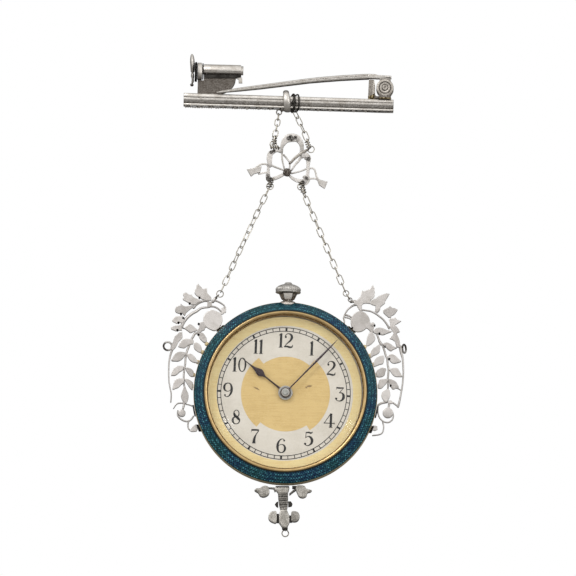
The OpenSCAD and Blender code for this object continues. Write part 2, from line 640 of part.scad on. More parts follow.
// Hidden plate under the dial with the post that the hands turn on
module movement_plate() color(dark_silver) on_watch() {
    plate_r = 11.6;
    watch_disc(plate_r, -1.6, dial_h - dial_t - gap);
    watch_disc(post_r, -1, 1.0);
}

module dial() color(dial_silver) on_dial() difference() {
    watch_disc(glass_r - gap, dial_h - dial_t, dial_h);
    watch_disc(post_r + running_gap, -2, 2);
}

// Hour hand: hub, narrow arm, pear-shaped leaf and needle tip
module hour_hand() color(hand_brown) on_dial() difference() {
    union() {
        watch_disc(1.08, 0.1, 0.4);
        rotate([0, hour_angle, 0]) plate(-0.35, -0.15) {
            wire([[0, 0.8], [0, hour_len*0.56]], 0.3, 0.2, 1);
            leaf([0, hour_len*0.53], [0, hour_len*0.83], 1.0, 0, 0.38);
            wire([[0, hour_len*0.72], [0, hour_len]], 0.26, 0.06, 1);
        }
    }
    watch_disc(post_r + running_gap, -1, 2);
}

// Minute hand: hub and long tapered blade
module minute_hand() color(hand_brown) on_dial() difference() {
    union() {
        watch_disc(0.72, 0.5, 0.82);
        rotate([0, minute_angle, 0]) plate(-0.76, -0.58) wire([[0, 0.5], [0, minute_len]], 0.3, 0.1, 1);
    }
    watch_disc(post_r + running_gap, -1, 2);
}

// Fluted crown with its small button
module crown() color(silver) on_watch() translate([0, crown_y, 0]) difference() {
    rim = crown_d/2;
    skirt = 0.55;
    dome = crown_top - 0.2 - crown_base - skirt;
    n = 6;
    union() {
        rotate_extrude() polygon(concat([[0, crown_base + 0.3], [1.25, crown_base + 0.3],
            [1.3, crown_base], [rim - 0.2, crown_base], [rim, crown_base + 0.2]],
            [for (i = [0:n]) let (a = 90*i/n)
                [max(rim*cos(a), 0), crown_base + skirt + dome*sin(a)]]));
        translate([0, 0, crown_top - 0.6]) cylinder(r = 0.5, h = 0.6);
    }
    for (i = [0:crown_flutes - 1]) rotate([0, 0, 360*(i + 0.5)/crown_flutes])
        translate([rim + 0.02, 0, crown_base - 1]) cylinder(r = 0.12, h = 1.9, $fn = 16);
    translate([0, 0, crown_base - 1]) cylinder(r = 0.43, h = 1.8);
}

module crown_stem() color(dark_silver) on_watch() translate([0, crown_y, 12.3])
    cylinder(r = 0.4, h = crown_base + 0.7 - 12.3);

// Finial under the case: cross plate, stem, side balls and the leaves beside it
module drop_finial() color(silver) {
    y0 = 0.3;
    y1 = 1.3;
    plate(y0, y1) offset(delta = 0.01) {
        polygon([[-1.05, -59.25], [0.75, -59.25], [0.7, -60.1], [-1.0, -60.1]]);
        wire([[-0.15, -60.2], [-0.2, -61.0], [-0.18, -62.3], [-0.1, -63.0]], 1.4, 0.9, 3);
        wire([[-0.1, -62.8], [-0.05, -63.4], [0, -64.6]], 0.9, 1.1, 3);
        polygon([[-0.75, -63.4], [0.7, -63.4], [0.75, -64.5], [0.5, -65.35], [-0.5, -65.35], [-0.8, -64.5]]);
        wire([[-0.9, -59.9], [-1.5, -59.5], [-2.2, -59.25], [-3.1, -59.2]], 0.3, 0.5, 3);
        wire([[0.6, -60.0], [1.2, -59.6], [1.8, -59.3], [2.6, -59.2]], 0.3, 0.5, 3);
        leaf([-2.2, -59.4], [-4.55, -59.65], 1.0, 0, 0.45);
        leaf([-3.0, -59.0], [-3.2, -60.58], 1.7, 0, 0.6);
        leaf([1.9, -59.4], [4.1, -59.6], 0.95, 0, 0.45);
        leaf([2.5, -58.95], [2.75, -60.65], 1.6, 0, 0.6);
        for (s = [-1, 1]) {
            polygon([[s*0.5, -63.1], [s*1.2, -63.05], [s*1.2, -64.45], [s*0.5, -64.5]]);
            polygon([[s*0.4 - 0.1, -61.5], [s*0.95 - 0.1, -61.4], [s*0.95 - 0.1, -61.95], [s*0.4 - 0.1, -61.9]]);
        }
    }
    for (s = [-1, 1]) {
        translate([s*1.65, y1, -63.68 + s*0.06]) rotate([90, 0, 0]) cylinder(r = 0.7, h = y1 - y0 + 0.25);
        translate([s*1.1 - 0.12, y1, -61.66]) rotate([90, 0, 0]) cylinder(r = 0.38, h = y1 - y0 - 0.1);
    }
    eye([0.15, -65.6], -90, (y0 + y1)/2);
}

module drop_ring() color(silver) translate([0, 0.8, 0]) face_ring([0.15, -66.06], 0.46, 0.14);

brooch_bar();
bar_stones();
hinge_block();
pin_stem();
catch_housing();
catch_slide();
bail();
bar_ring();
chain_upper_left();
chain_upper_right();
bow();
chain_lower_left();
chain_lower_right();
wing_left();
wing_right();
side_ring_left();
side_ring_right();
case_middle();
case_back();
enamel_ring();
bezel();
crystal();
movement_plate();
dial();
hour_hand();
minute_hand();
crown();
crown_stem();
drop_finial();
drop_ring();
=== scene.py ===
"""Looks of the pendant watch on its bar brooch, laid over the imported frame.

Sizes are in millimetres and become metres when a mesh is made. X is right, Z is up and the
viewer who faces the dial looks along +Y, so a form's front has the smaller Y.
"""

import json
import logging
from dataclasses import dataclass, field
from enum import Enum
from itertools import accumulate
from math import atan2, copysign, cos, floor, hypot, pi, radians, sin, sqrt
from typing import Callable, Sequence

import bmesh
import bpy
from mathutils import Matrix, Vector

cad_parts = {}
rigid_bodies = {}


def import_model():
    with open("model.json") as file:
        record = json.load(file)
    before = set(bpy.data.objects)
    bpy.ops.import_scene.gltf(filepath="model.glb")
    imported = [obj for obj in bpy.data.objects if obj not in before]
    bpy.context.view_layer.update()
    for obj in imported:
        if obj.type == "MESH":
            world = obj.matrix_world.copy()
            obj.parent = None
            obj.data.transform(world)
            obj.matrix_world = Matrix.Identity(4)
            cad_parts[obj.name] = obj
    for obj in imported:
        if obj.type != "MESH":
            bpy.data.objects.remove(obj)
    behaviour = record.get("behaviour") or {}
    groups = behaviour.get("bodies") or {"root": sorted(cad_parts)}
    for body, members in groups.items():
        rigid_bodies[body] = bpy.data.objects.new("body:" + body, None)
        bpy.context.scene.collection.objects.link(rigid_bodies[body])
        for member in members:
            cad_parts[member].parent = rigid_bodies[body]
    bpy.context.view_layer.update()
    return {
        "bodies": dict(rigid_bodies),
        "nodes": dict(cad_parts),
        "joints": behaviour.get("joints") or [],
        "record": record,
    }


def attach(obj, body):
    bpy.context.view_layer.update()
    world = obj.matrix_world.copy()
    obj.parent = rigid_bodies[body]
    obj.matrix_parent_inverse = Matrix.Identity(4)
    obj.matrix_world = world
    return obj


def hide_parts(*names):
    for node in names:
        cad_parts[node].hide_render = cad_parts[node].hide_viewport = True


MM = 0.001
LOG = logging.getLogger("pendant_watch")

Flat = tuple[float, float]
Loop = list[Vector]
Socket = bpy.types.NodeSocket
Source = bpy.types.NodeSocket | bpy.types.Node
Row = tuple[int, ...]
Material = bpy.types.Material
Tree = bpy.types.NodeTree
Triple = tuple[float, float, float]
RIGHT, BACK, UP = Vector((1, 0, 0)), Vector((0, 1, 0)), Vector((0, 0, 1))
WATCH: Flat = (0.0, -44.9)


class Body(Enum):
    """The moving bodies that pieces ride on."""

    JEWEL = "jewel"
    PIN = "pin"
    SLIDER = "catch_slider"
    STEM = "winding_stem"
    CROWN = "winding_crown"
    MINUTE = "minute_hand_arbor"
    HOUR = "hour_hand_pipe"


class Axis(Enum):
    """The axis that a profile turns about: along the bar, through the dial, or upright."""

    BAR = "x"
    DIAL = "y"
    UPRIGHT = "z"


# Paths and closed sections


def smooth_path(points: Sequence[Flat], steps: int = 4) -> list[Flat]:
    """Puts a smooth curve through points.

    Args:
        points: the points it passes through.
        steps: pieces between two neighbours.

    Returns:
        The points of the finer path.
    """
    last = len(points) - 1
    fine: list[Flat] = []
    for i in range(last):
        a, b, c, d = (points[max(i - 1, 0)], points[i], points[i + 1], points[min(i + 2, last)])
        for k in range(steps):
            t = k / steps
            fine.append(tuple(
                0.5 * (2 * b[j] + (c[j] - a[j]) * t + (2 * a[j] - 5 * b[j] + 4 * c[j] - d[j]) * t * t
                       + (3 * b[j] - 3 * c[j] + d[j] - a[j]) * t ** 3) for j in (0, 1)))
    fine.append((points[last][0], points[last][1]))
    return fine


def spread(values: Sequence[float], t: float) -> float:
    """Value at share t of a row of evenly spaced values.

    Args:
        values: the evenly spaced values.
        t: share of the way along them.

    Returns:
        The value there.
    """
    at = t * (len(values) - 1)
    i = min(int(at), len(values) - 2)
    return values[i] + (values[i + 1] - values[i]) * (at - i)


def side_normals(path: Sequence[Flat]) -> list[Flat]:
    """Left-hand normals along a path.

    Args:
        path: its points.

    Returns:
        A unit normal for each point.
    """
    normals: list[Flat] = []
    last = len(path) - 1
    for i in range(len(path)):
        a, b = path[max(i - 1, 0)], path[min(i + 1, last)]
        dx, dz = b[0] - a[0], b[1] - a[1]
        size = hypot(dx, dz) or 1.0
        normals.append((-dz / size, dx / size))
    return normals


@dataclass(frozen=True)
class Section:
    """Cross-section of a flat form: a front with soft edges, level or crowned, and a flat back.

    Attributes:
        front: depth of the highest point of the front.
        back: depth of the back.
        crown: how far the front falls back at its edges.
        edge: width of the soft edge.
    """

    front: float
    back: float
    crown: float = 0.0
    edge: float = 0.06

    def loop(self, half: float) -> list[Flat]:
        """Places across and in depth of the closed section, for half of the form's width.

        Args:
            half: half of the form's width.

        Returns:
            Pairs of place across and depth.
        """
        soft = min(self.edge, half * 0.4, (self.back - self.front) / 3)
        loop: list[Flat] = []
        for inwards, drop in ((0.0, 1.0), (0.3, 0.3), (1.0, 0.0), (1.9, 0.0)):
            across = min(inwards * soft, half * 0.85)
            loop.append((across - half, self.front + drop * soft + self.crown * (1 - across / half) ** 2.2))
        loop.append((0.0, self.front))
        loop += [(-s, y) for s, y in reversed(loop[:-1])]
        loop = [(s, min(y, self.back - 2 * soft)) for s, y in loop]
        return loop + [(half, self.back - soft), (half - soft, self.back), (soft - half, self.back),
                       (-half, self.back - soft)]


def full_turn(count: int) -> list[float]:
    """Angles that share out a full turn."""
    return [2 * pi * k / count for k in range(count)]


def circle(centre: Vector, radius: float, u: Vector, v: Vector, count: int = 28) -> Loop:
    """Points of a circle in the plane of u and v."""
    return [centre + radius * (u * cos(t) + v * sin(t)) for t in full_turn(count)]


def closed_curve(corners: Sequence[Flat], steps: int = 3) -> list[Flat]:
    """A smooth closed outline through its corners."""
    wrapped = [*corners[-2:], *corners, *corners[:2]]
    return smooth_path(wrapped, steps)[2 * steps:-2 * steps - 1 + steps]


def table(width: int, *hundredths: int) -> tuple[tuple[float, ...], ...]:
    """Rows of width numbers each, given in hundredths."""
    return tuple(tuple(v / 100 for v in hundredths[i:i + width]) for i in range(0, len(hundredths), width))


def drawn(steps: Sequence[int], origin: Flat = (0.0, 0.0)) -> list[Flat]:
    """Places reached from origin by steps in X and Z, in hundredths of a millimetre."""
    return [(origin[0] + x / 100, origin[1] + z / 100)
            for x, z in zip(accumulate(steps[::2]), accumulate(steps[1::2]))]


class Shell:
    """Points, faces and darkening of one mesh, in millimetres; the darkening is painted shade and patina."""

    def __init__(self) -> None:
        """Starts an empty shell."""
        self.points: Loop = []
        self.faces: list[tuple[int, ...]] = []
        self.shade_and_patina: list[float] = []

    def loft(self, loops: Sequence[Sequence[Vector]], ring: bool = False,
             shade_and_patina: Sequence[float] = ()) -> "Shell":
        """Skins closed loops of equal length.

        Args:
            loops: the loops in order.
            ring: joins the last loop to the first, and otherwise both ends are closed with faces.
            shade_and_patina: darkening of each loop, from 0 to 1, painted shade and patina.

        Returns:
            The shell itself.
        """
        start, size = len(self.points), len(loops[0])
        for i, loop in enumerate(loops):
            self.points.extend(loop)
            self.shade_and_patina.extend([shade_and_patina[i] if shade_and_patina else 0.0] * size)
        count = len(loops)
        for i in range(count if ring else count - 1):
            j = (i + 1) % count
            for k in range(size):
                n = (k + 1) % size
                self.faces.append((start + i * size + k, start + i * size + n,
                                   start + j * size + n, start + j * size + k))
        if not ring:
            self.faces.append(tuple(start + k for k in range(size)))
            self.faces.append(tuple(start + (count - 1) * size + k for k in range(size)))
        return self

    def ribbon(self, path: Sequence[Flat], widths: Sequence[float], section: Section,
               round_ends: bool = True, shade_and_patina: float = 0.0) -> "Shell":
        """Lays a crowned band along a path in X and Z.

        Args:
            path: the fine path.
            widths: two or more widths, spread evenly from start to end.
            section: its cross-section.
            round_ends: gives it rounded ends.
            shade_and_patina: darkening towards both ends, painted shade and patina.

        Returns:
            The shell itself.
        """
        normals = side_normals(path)
        last = len(path) - 1
        stations: list[tuple[Flat, Flat, float, float]] = []
        for i, (p, n) in enumerate(zip(path, normals)):
            t = i / last
            stations.append((p, n, spread(widths, t) / 2, shade_and_patina * abs(2 * t - 1) ** 3))
        if round_ends:
            head = self._round_end(path[0], normals[0], widths[0] / 2, -1, shade_and_patina)
            tail = self._round_end(path[-1], normals[-1], widths[-1] / 2, 1, shade_and_patina)
            stations = head[::-1] + stations + tail
        loops = [[Vector((p[0] + n[0] * s, y, p[1] + n[1] * s)) for s, y in section.loop(half)]
                 for p, n, half, _ in stations]
        return self.loft(loops, shade_and_patina=[tone for _, _, _, tone in stations])

    @staticmethod
    def _round_end(p: Flat, n: Flat, half: float, way: int,
                   tone: float) -> list[tuple[Flat, Flat, float, float]]:
        """Stations that round off one end of a ribbon.

        Args:
            p: the ribbon's last point.
            n: its normal there.
            half: half of its width there.
            way: 1 at the ribbon's end, -1 at its start.
            tone: darkening.

        Returns:
            The stations, outwards.
        """
        out: list[tuple[Flat, Flat, float, float]] = []
        for a in (30, 55, 78):
            reach, part = half * sin(radians(a)) * way, cos(radians(a))
            out.append(((p[0] + n[1] * reach, p[1] - n[0] * reach), n, half * part, tone))
        return out

    def lathe(self, profile: Sequence[Flat], centre: Vector, sides: int, shade_and_patina: float = 0.0,
              tones: Sequence[float] = (), axis: Axis = Axis.DIAL) -> "Shell":
        """Turns a closed profile about an axis through centre.

        Args:
            profile: pairs of radius and height along the axis; height is forward for the dial's.
            centre: a point on the axis.
            sides: pieces round.
            shade_and_patina: darkening all over, painted shade and patina.
            tones: darkening of each point of the profile, painted shade and patina, in place of
                shade_and_patina.
            axis: what it turns about.

        Returns:
            The shell itself.
        """
        loops = []
        for a in full_turn(sides):
            c, s = cos(a), sin(a)
            if axis is Axis.DIAL:
                loops.append([centre + Vector((r * c, -h, r * s)) for r, h in profile])
            elif axis is Axis.UPRIGHT:
                loops.append([centre + Vector((r * c, r * s, h)) for r, h in profile])
            else:
                loops.append([centre + Vector((h, r * c, r * s)) for r, h in profile])
        self.loft(loops, ring=True, shade_and_patina=[shade_and_patina] * sides)
        if tones:
            self.shade_and_patina[-len(profile) * sides:] = list(tones) * sides
        return self

    def tube(self, path: Sequence[Vector], radii: Sequence[float] | float, sides: int = 10,
             ring: bool = False, shade_and_patina: Sequence[float] | float = 0.0) -> "Shell":
        """Sweeps a round wire along a path.

        Args:
            path: the points of its middle line.
            radii: its radius, or one for each point.
            sides: points round.
            ring: closes the path on itself.
            shade_and_patina: darkening, or one for each point, painted shade and patina.

        Returns:
            The shell itself.
        """
        count = len(path)
        widths = [radii] * count if isinstance(radii, float) else radii
        tones = [shade_and_patina] * count if isinstance(shade_and_patina, float) else shade_and_patina
        lead = Vector((0.0, 1.0, 0.0))
        loops = []
        for i, p in enumerate(path):
            before = path[(i - 1) % count] if ring or i else p
            after = path[(i + 1) % count] if ring or i < count - 1 else p
            along = (after - before).normalized()
            lead = lead - along * lead.dot(along)
            lead = lead.normalized() if lead.length > 1e-6 else along.orthogonal().normalized()
            loops.append(circle(p, widths[i], lead, along.cross(lead), sides))
        return self.loft(loops, ring=ring, shade_and_patina=tones)

    def slab(self, outline: Sequence[Flat], front: float, back: float, soft: float = 0.05,
             shade_and_patina: float = 0.0, lean: Flat = (0.0, 0.0)) -> "Shell":
        """Adds a flat plate from an outline in X and Z with softened edges.

        Args:
            outline: its corners in order.
            front: depth of its front.
            back: depth of its back.
            soft: how far the edge is rounded in.
            shade_and_patina: darkening all over, painted shade and patina.
            lean: how much its front falls back for each millimetre of X and Z from its middle.

        Returns:
            The shell itself.
        """
        count = len(outline)
        area = sum(outline[i - 1][0] * outline[i][1] - outline[i][0] * outline[i - 1][1]
                   for i in range(count))
        inward: list[Flat] = []
        for i in range(count):
            (ax, az), (bx, bz) = outline[i - 1], outline[(i + 1) % count]
            size = copysign(hypot(bx - ax, bz - az) or 1.0, area)
            inward.append(((az - bz) / size, (bx - ax) / size))
        mx, mz = (sum(p[j] for p in outline) / count for j in (0, 1))
        loops = []
        for d, y in ((soft, back), (0.0, back - soft), (0.0, front + soft), (0.3 * soft, front + 0.3 * soft),
                     (soft, front), (1.8 * soft, front)):
            slope = lean if y < (front + back) / 2 else (0.0, 0.0)
            loops.append([Vector((x + nx * d, y + slope[0] * (x - mx) + slope[1] * (z - mz), z + nz * d))
                          for (x, z), (nx, nz) in zip(outline, inward)])
        return self.loft(loops, shade_and_patina=[shade_and_patina] * len(loops))

    def draw_out(self, profile: Sequence[Triple], stations: Sequence[Flat],
                 shape: Callable[[float, float, float], Vector]) -> "Shell":
        """Draws a closed profile out along X.

        Args:
            profile: depth, height and darkening of its points.
            stations: places along X, each with the profile's size there.
            shape: where a point goes from its X, Y and Z.

        Returns:
            The shell itself.
        """
        loops = [[shape(x, y * size, z * size) for y, z, _ in profile] for x, size in stations]
        self.loft(loops)
        self.shade_and_patina[-len(profile) * len(stations):] = [tone for _, _, tone in profile] * len(stations)
        return self

    def stack(self, rows: Sequence[tuple[float, float, float, float]], shade_and_patina: float = 0.0) -> "Shell":
        """Stacks level ovals on the middle plane.

        Args:
            rows: the X, Z, half width and half depth of each.
            shade_and_patina: darkening all over, painted shade and patina.

        Returns:
            The shell itself.
        """
        loops = [[Vector((x + wide * cos(a), deep * sin(a), z)) for a in full_turn(24)]
                 for x, z, wide, deep in rows]
        return self.loft(loops, shade_and_patina=[shade_and_patina] * len(rows))

    def keep_outside(self, centre: Flat, radius: float) -> None:
        """Pushes points out of a circle in X and Z, so that a wing stays clear of the case.

        Args:
            centre: the circle's centre.
            radius: its radius.
        """
        for p in self.points:
            dx, dz = p.x - centre[0], p.z - centre[1]
            size = hypot(dx, dz)
            if size < radius:
                p.x, p.z = centre[0] + dx / size * radius, centre[1] + dz / size * radius

    def moved(self, turn: Matrix, shift: Vector = Vector((0, 0, 0))) -> "Shell":
        """Turns and then shifts the whole shell in place, and gives it back."""
        self.points = [turn @ p + shift for p in self.points]
        return self

    def mesh(self, name: str) -> bpy.types.Mesh:
        """Makes a Blender mesh in metres with its shade_and_patina attribute, the painted shade and patina.

        Args:
            name: its name.

        Returns:
            The mesh.
        """
        mesh = bpy.data.meshes.new(name)
        mesh.from_pydata([tuple(p * MM) for p in self.points], [], self.faces)
        layer = mesh.attributes.new("shade_and_patina", "FLOAT", "POINT")
        layer.data.foreach_set("value", self.shade_and_patina)
        tidy_mesh(mesh)
        return mesh


def tidy_mesh(mesh: bpy.types.Mesh, merge: float = 2e-7) -> None:
    """Merges doubles and turns faces outwards.

    Args:
        mesh: the mesh, in metres.
        merge: distance under which points are one.
    """
    bm = bmesh.new()
    bm.from_mesh(mesh)
    bmesh.ops.remove_doubles(bm, verts=bm.verts, dist=merge)
    bmesh.ops.recalc_face_normals(bm, faces=bm.faces)
    bm.to_mesh(mesh)
    bm.free()
    mesh.update()


# Finishes


class NodeTree:
    """A node tree with short calls to add nodes and join them."""

    def __init__(self, tree: Tree) -> None:
        """Keeps the tree that nodes go into."""
        self.tree = tree

    def put(self, socket: Socket, value: object) -> None:
        """Joins a socket, or a node's first output, to an input, or sets the input to a plain value.

        Args:
            socket: the input.
            value: a socket, a node or a plain value.
        """
        source = value.outputs[0] if isinstance(value, bpy.types.Node) else value
        if isinstance(source, bpy.types.NodeSocket):
            self.tree.links.new(source, socket)
        else:
            socket.default_value = source

    def fill(self, node: bpy.types.Node, **inputs: object) -> None:
        """Fills a node's inputs; a name's underscores stand for spaces.

        Args:
            node: the node.
            inputs: a socket, a node or a value for each input.
        """
        for name, value in inputs.items():
            label = name.replace("_", " ")
            self.put(next(s for s in node.inputs if s.name == label and s.enabled), value)

    def node(self, kind: str, settings: dict[str, object] | None = None, **inputs: object) -> bpy.types.Node:
        """Adds a node, sets its properties and fills its inputs.

        Args:
            kind: its type.
            settings: its properties.
            inputs: a socket, a node or a value for each input.

        Returns:
            The node.
        """
        node = self.tree.nodes.new(kind)
        for key, value in (settings or {}).items():
            setattr(node, key, value)
        self.fill(node, **inputs)
        return node

    def math(self, operation: str, a: object, b: object = 0.0, c: object = 0.0) -> Socket:
        """A Math node's result.

        Args:
            operation: what it does.
            a: first value.
            b: second value.
            c: third value.

        Returns:
            The result.
        """
        node = self.node("ShaderNodeMath", {"operation": operation})
        for socket, value in zip(node.inputs, (a, b, c)):
            self.put(socket, value)
        return node.outputs[0]

    def times(self, a: object, b: object) -> Socket:
        """The product of two values."""
        return self.math("MULTIPLY", a, b)

    def plus(self, a: object, b: object) -> Socket:
        """The sum of two values."""
        return self.math("ADD", a, b)

    def length(self, a: Socket, b: Socket) -> Socket:
        """How far the place a, b lies from the middle."""
        return self.math("SQRT", self.plus(self.times(a, a), self.times(b, b)))


class Sheet(NodeTree):
    """A shading tree with calls for colours, noise and bumps."""

    def blend(self, share: object, a: object, b: object) -> Socket:
        """Mixes colour a towards colour b.

        Args:
            share: share of b, from 0 to 1.
            a: first colour.
            b: second colour.

        Returns:
            The colour.
        """
        node = self.node("ShaderNodeMix", {"data_type": "RGBA"})
        self.put(node.inputs[0], share)
        self.put(node.inputs[6], a)
        self.put(node.inputs[7], b)
        return node.outputs[2]

    def ramp(self, value: Socket, low: float, high: float) -> Socket:
        """Value spread smoothly from 0 at low to 1 at high."""
        return self.node("ShaderNodeMapRange", {"interpolation_type": "SMOOTHSTEP"}, Value=value,
                         From_Min=low, From_Max=high).outputs[0]

    def noise(self, where: Socket, scale: float, detail: float = 3.0, rough: float = 0.55) -> Socket:
        """Noise from 0 to 1 at a place."""
        return self.node("ShaderNodeTexNoise", Vector=where, Scale=scale, Detail=detail,
                         Roughness=rough).outputs[0]

    def place(self, shift: Triple = (0, 0, 0), turn: Triple = (0, 0, 0),
              size: Triple = (1, 1, 1)) -> Socket:
        """Object coordinates through a Mapping node, in millimetres.

        Args:
            shift: how far they are shifted.
            turn: their turn, in radians.
            size: their scale.

        Returns:
            The coordinates.
        """
        where = self.node("ShaderNodeTexCoord").outputs["Object"]
        return self.node("ShaderNodeMapping", Vector=where, Location=shift, Rotation=turn,
                         Scale=tuple(1000 * s for s in size)).outputs[0]

    def split(self, vector: Source) -> tuple[Socket, Socket, Socket]:
        """The three parts of a vector."""
        node = self.node("ShaderNodeSeparateXYZ", Vector=vector)
        return node.outputs[0], node.outputs[1], node.outputs[2]

    def bump(self, height: Socket, depth: float) -> Socket:
        """A bumped normal; depth is in millimetres."""
        return self.node("ShaderNodeBump", Strength=1.0, Distance=depth * MM, Height=height).outputs[0]


def new_material(name: str) -> tuple[Material, Sheet, bpy.types.Node]:
    """A material with one Principled shader on its output.

    Args:
        name: its name.

    Returns:
        The material, its shading tree and the shader.
    """
    material = bpy.data.materials.new(name)
    material.use_nodes = True
    material.node_tree.nodes.clear()
    sheet = Sheet(material.node_tree)
    shader = sheet.node("ShaderNodeBsdfPrincipled")
    output = sheet.node("ShaderNodeOutputMaterial")
    sheet.put(output.inputs[0], shader)
    return material, sheet, shader


Colour = tuple[float, float, float, float]


@dataclass(frozen=True)
class WornMetal:
    """Metal with grain, patches of tarnish and darkened hollows.

    Attributes:
        name: name of the material.
        bright: colour of clean metal.
        dull: colour of the tarnished patches.
        dark: colour of the painted shade and patina, and of the small dark specks.
        rough: roughness of clean metal.
        patch: size of the patches, in cycles per millimetre.
        grain: depth of the surface grain.
        spots: strength of the small dark specks.
        mottling: span of the noise over which clean metal turns dull.
    """

    name: str
    bright: Colour
    dull: Colour
    dark: Colour
    rough: float = 0.36
    patch: float = 0.9
    grain: float = 0.012
    spots: float = 0.0
    mottling: Flat = (0.42, 0.66)

    def build(self) -> Material:
        """Makes the material.

        Returns:
            The material.
        """
        material, sheet, shader = new_material(self.name)
        where = sheet.place()
        patches = sheet.noise(where, self.patch, 4.0, 0.6)
        fine = sheet.noise(where, self.patch * 9, 2.0, 0.5)
        # The vertex attribute paints shade into recesses and undersides, with some patina; it mixes towards
        # the dark colour.
        tone = sheet.node("ShaderNodeAttribute", {"attribute_name": "shade_and_patina"}).outputs["Fac"]
        mottled = sheet.plus(sheet.times(patches, 0.75), sheet.times(fine, 0.25))
        colour = sheet.blend(sheet.ramp(mottled, *self.mottling), self.bright, self.dull)
        shade_and_specks = sheet.times(tone, sheet.ramp(fine, 0.25, 0.7))
        shade_and_specks = sheet.math("MINIMUM", sheet.plus(shade_and_specks, sheet.times(tone, 0.45)), 1.0)
        if self.spots > 0:
            specks = sheet.ramp(sheet.noise(where, self.patch * 4.5, 1.0, 0.4), 0.66, 0.74)
            shade_and_specks = sheet.math("MAXIMUM", shade_and_specks, sheet.times(specks, self.spots))
        colour = sheet.blend(shade_and_specks, colour, self.dark)
        rough = sheet.plus(self.rough, sheet.times(patches, 0.16))
        grain = sheet.noise(where, self.patch * 26, 2.0, 0.6)
        sheet.fill(shader, Base_Color=colour, Metallic=1.0,
                   Roughness=sheet.plus(rough, sheet.times(shade_and_specks, 0.2)),
                   Normal=sheet.bump(sheet.plus(grain, patches), self.grain))
        return material


@dataclass(frozen=True)
class RingEnamel:
    """Translucent enamel over engine turning: a net of crossing waves round the case."""

    name: str = "enamel_over_engine_turning"
    centre_z: float = WATCH[1]
    inner: float = 12.2
    outer: float = 13.8
    rows: float = 3.5
    waves: float = 105.0
    deep: Colour = (0.001, 0.011, 0.024, 1)
    blue: Colour = (0.0012, 0.024, 0.07, 1)
    green: Colour = (0.001, 0.042, 0.046, 1)
    light: Colour = (0.1, 0.35, 0.4, 1)
    olive: Colour = (0.5, 0.5, 0.36, 1)
    edge: Colour = (0.006, 0.009, 0.006, 1)

    def build(self) -> Material:
        """Makes the material.

        Returns:
            The material.
        """
        material, sheet, shader = new_material(self.name)
        where = sheet.place(shift=(0, 0, -self.centre_z))
        x, _, z = sheet.split(where)
        radius = sheet.length(x, z)
        share = sheet.times(sheet.math("SUBTRACT", radius, self.inner), 1 / (self.outer - self.inner))
        turn = sheet.times(sheet.math("ARCTAN2", z, x), self.waves)
        swing = sheet.times(sheet.math("SINE", turn), 2.0)
        row = sheet.times(share, self.rows * 2 * pi)
        up = sheet.ramp(sheet.math("COSINE", sheet.plus(row, swing)), 0.0, 0.85)
        down = sheet.ramp(sheet.math("COSINE", sheet.math("SUBTRACT", row, swing)), 0.0, 0.85)
        ripple, knot = sheet.math("MAXIMUM", up, down), sheet.times(up, down)
        patches = sheet.noise(where, 0.16, 3.0, 0.6)
        fine = sheet.noise(where, 3.0, 2.0, 0.6)
        base = sheet.blend(sheet.ramp(patches, 0.38, 0.62), self.blue, self.green)
        base = sheet.blend(ripple, self.deep, base)
        # Painted glints: the light colour where the engine-turned waves cross.
        glint = sheet.math("MULTIPLY_ADD", ripple, 0.2, sheet.times(knot, 1.1))
        glint = sheet.times(glint, sheet.ramp(fine, 0.44, 0.6))
        colour = sheet.blend(glint, base, self.light)
        # The dark band at the inner edge, below share 0.12, is painted shade beside the bezel.
        for low, high, tint, share_of in ((0.86, 0.9, self.green, 0.7), (0.9, 0.94, self.edge, 0.9),
                                          (0.955, 0.985, self.olive, 0.8), (0.12, 0.07, self.edge, 0.95)):
            border = sheet.times(sheet.ramp(share, low, high), share_of)
            colour = sheet.blend(border, colour, tint)
        sheet.fill(shader, Base_Color=colour, Metallic=0.35, Specular_IOR_Level=0.2,
                   Roughness=sheet.math("MULTIPLY_ADD", fine, 0.2, 0.3), Coat_Weight=0.12,
                   Coat_Roughness=0.08, Coat_IOR=1.45, Normal=sheet.bump(ripple, 0.012))
        return material


@dataclass(frozen=True)
class DialSkin:
    """Frosted plating of a dial zone, with grain, brushing and a few worn marks.

    Attributes:
        name: name of the material.
        base: main colour.
        shade: colour of the darker grain.
        metal: how metallic it is.
        brush: strength of the fine level lines.
        marks: places and sizes of worn marks in X and Z.
    """

    name: str
    base: Colour
    shade: Colour
    metal: float = 0.3
    brush: float = 0.4
    marks: tuple[tuple[float, float, float, float, float], ...] = ()
    worn: Colour = (0.14, 0.075, 0.03, 1)

    def build(self) -> Material:
        """Makes the material.

        Returns:
            The material.
        """
        material, sheet, shader = new_material(self.name)
        where = sheet.place()
        grain = sheet.noise(where, 7.0, 3.0, 0.7)
        cloud = sheet.noise(where, 0.35, 3.0, 0.6)
        lines = sheet.noise(sheet.place(size=(0.35, 1, 5.5)), 1.0, 2.0, 0.5)
        mixed = sheet.plus(sheet.times(grain, 0.5), sheet.times(cloud, 0.5))
        mixed = sheet.math("MULTIPLY_ADD", sheet.math("SUBTRACT", lines, 0.5), self.brush, mixed)
        colour = sheet.blend(sheet.ramp(mixed, 0.38, 0.7), self.base, self.shade)
        ragged = sheet.noise(where, 3.5, 3.0, 0.8)
        for x, z, length, width, turn in self.marks:
            spot = sheet.place(shift=(-x, 0, -z))
            turned = sheet.node("ShaderNodeVectorRotate", {"rotation_type": "Y_AXIS"}, Vector=spot,
                                Angle=radians(turn))
            u, _, w = sheet.split(turned)
            u, w = sheet.math("DIVIDE", u, length), sheet.math("DIVIDE", w, width)
            reach = sheet.length(u, w)
            reach = sheet.math("MULTIPLY_ADD", sheet.math("SUBTRACT", ragged, 0.5), 1.4, reach)
            colour = sheet.blend(sheet.times(sheet.ramp(reach, 1.0, 0.4), 0.9), colour, self.worn)
        sheet.fill(shader, Base_Color=colour, Metallic=self.metal,
                   Roughness=sheet.math("MULTIPLY_ADD", grain, 0.2, 0.42), Normal=sheet.bump(grain, 0.006))
        return material


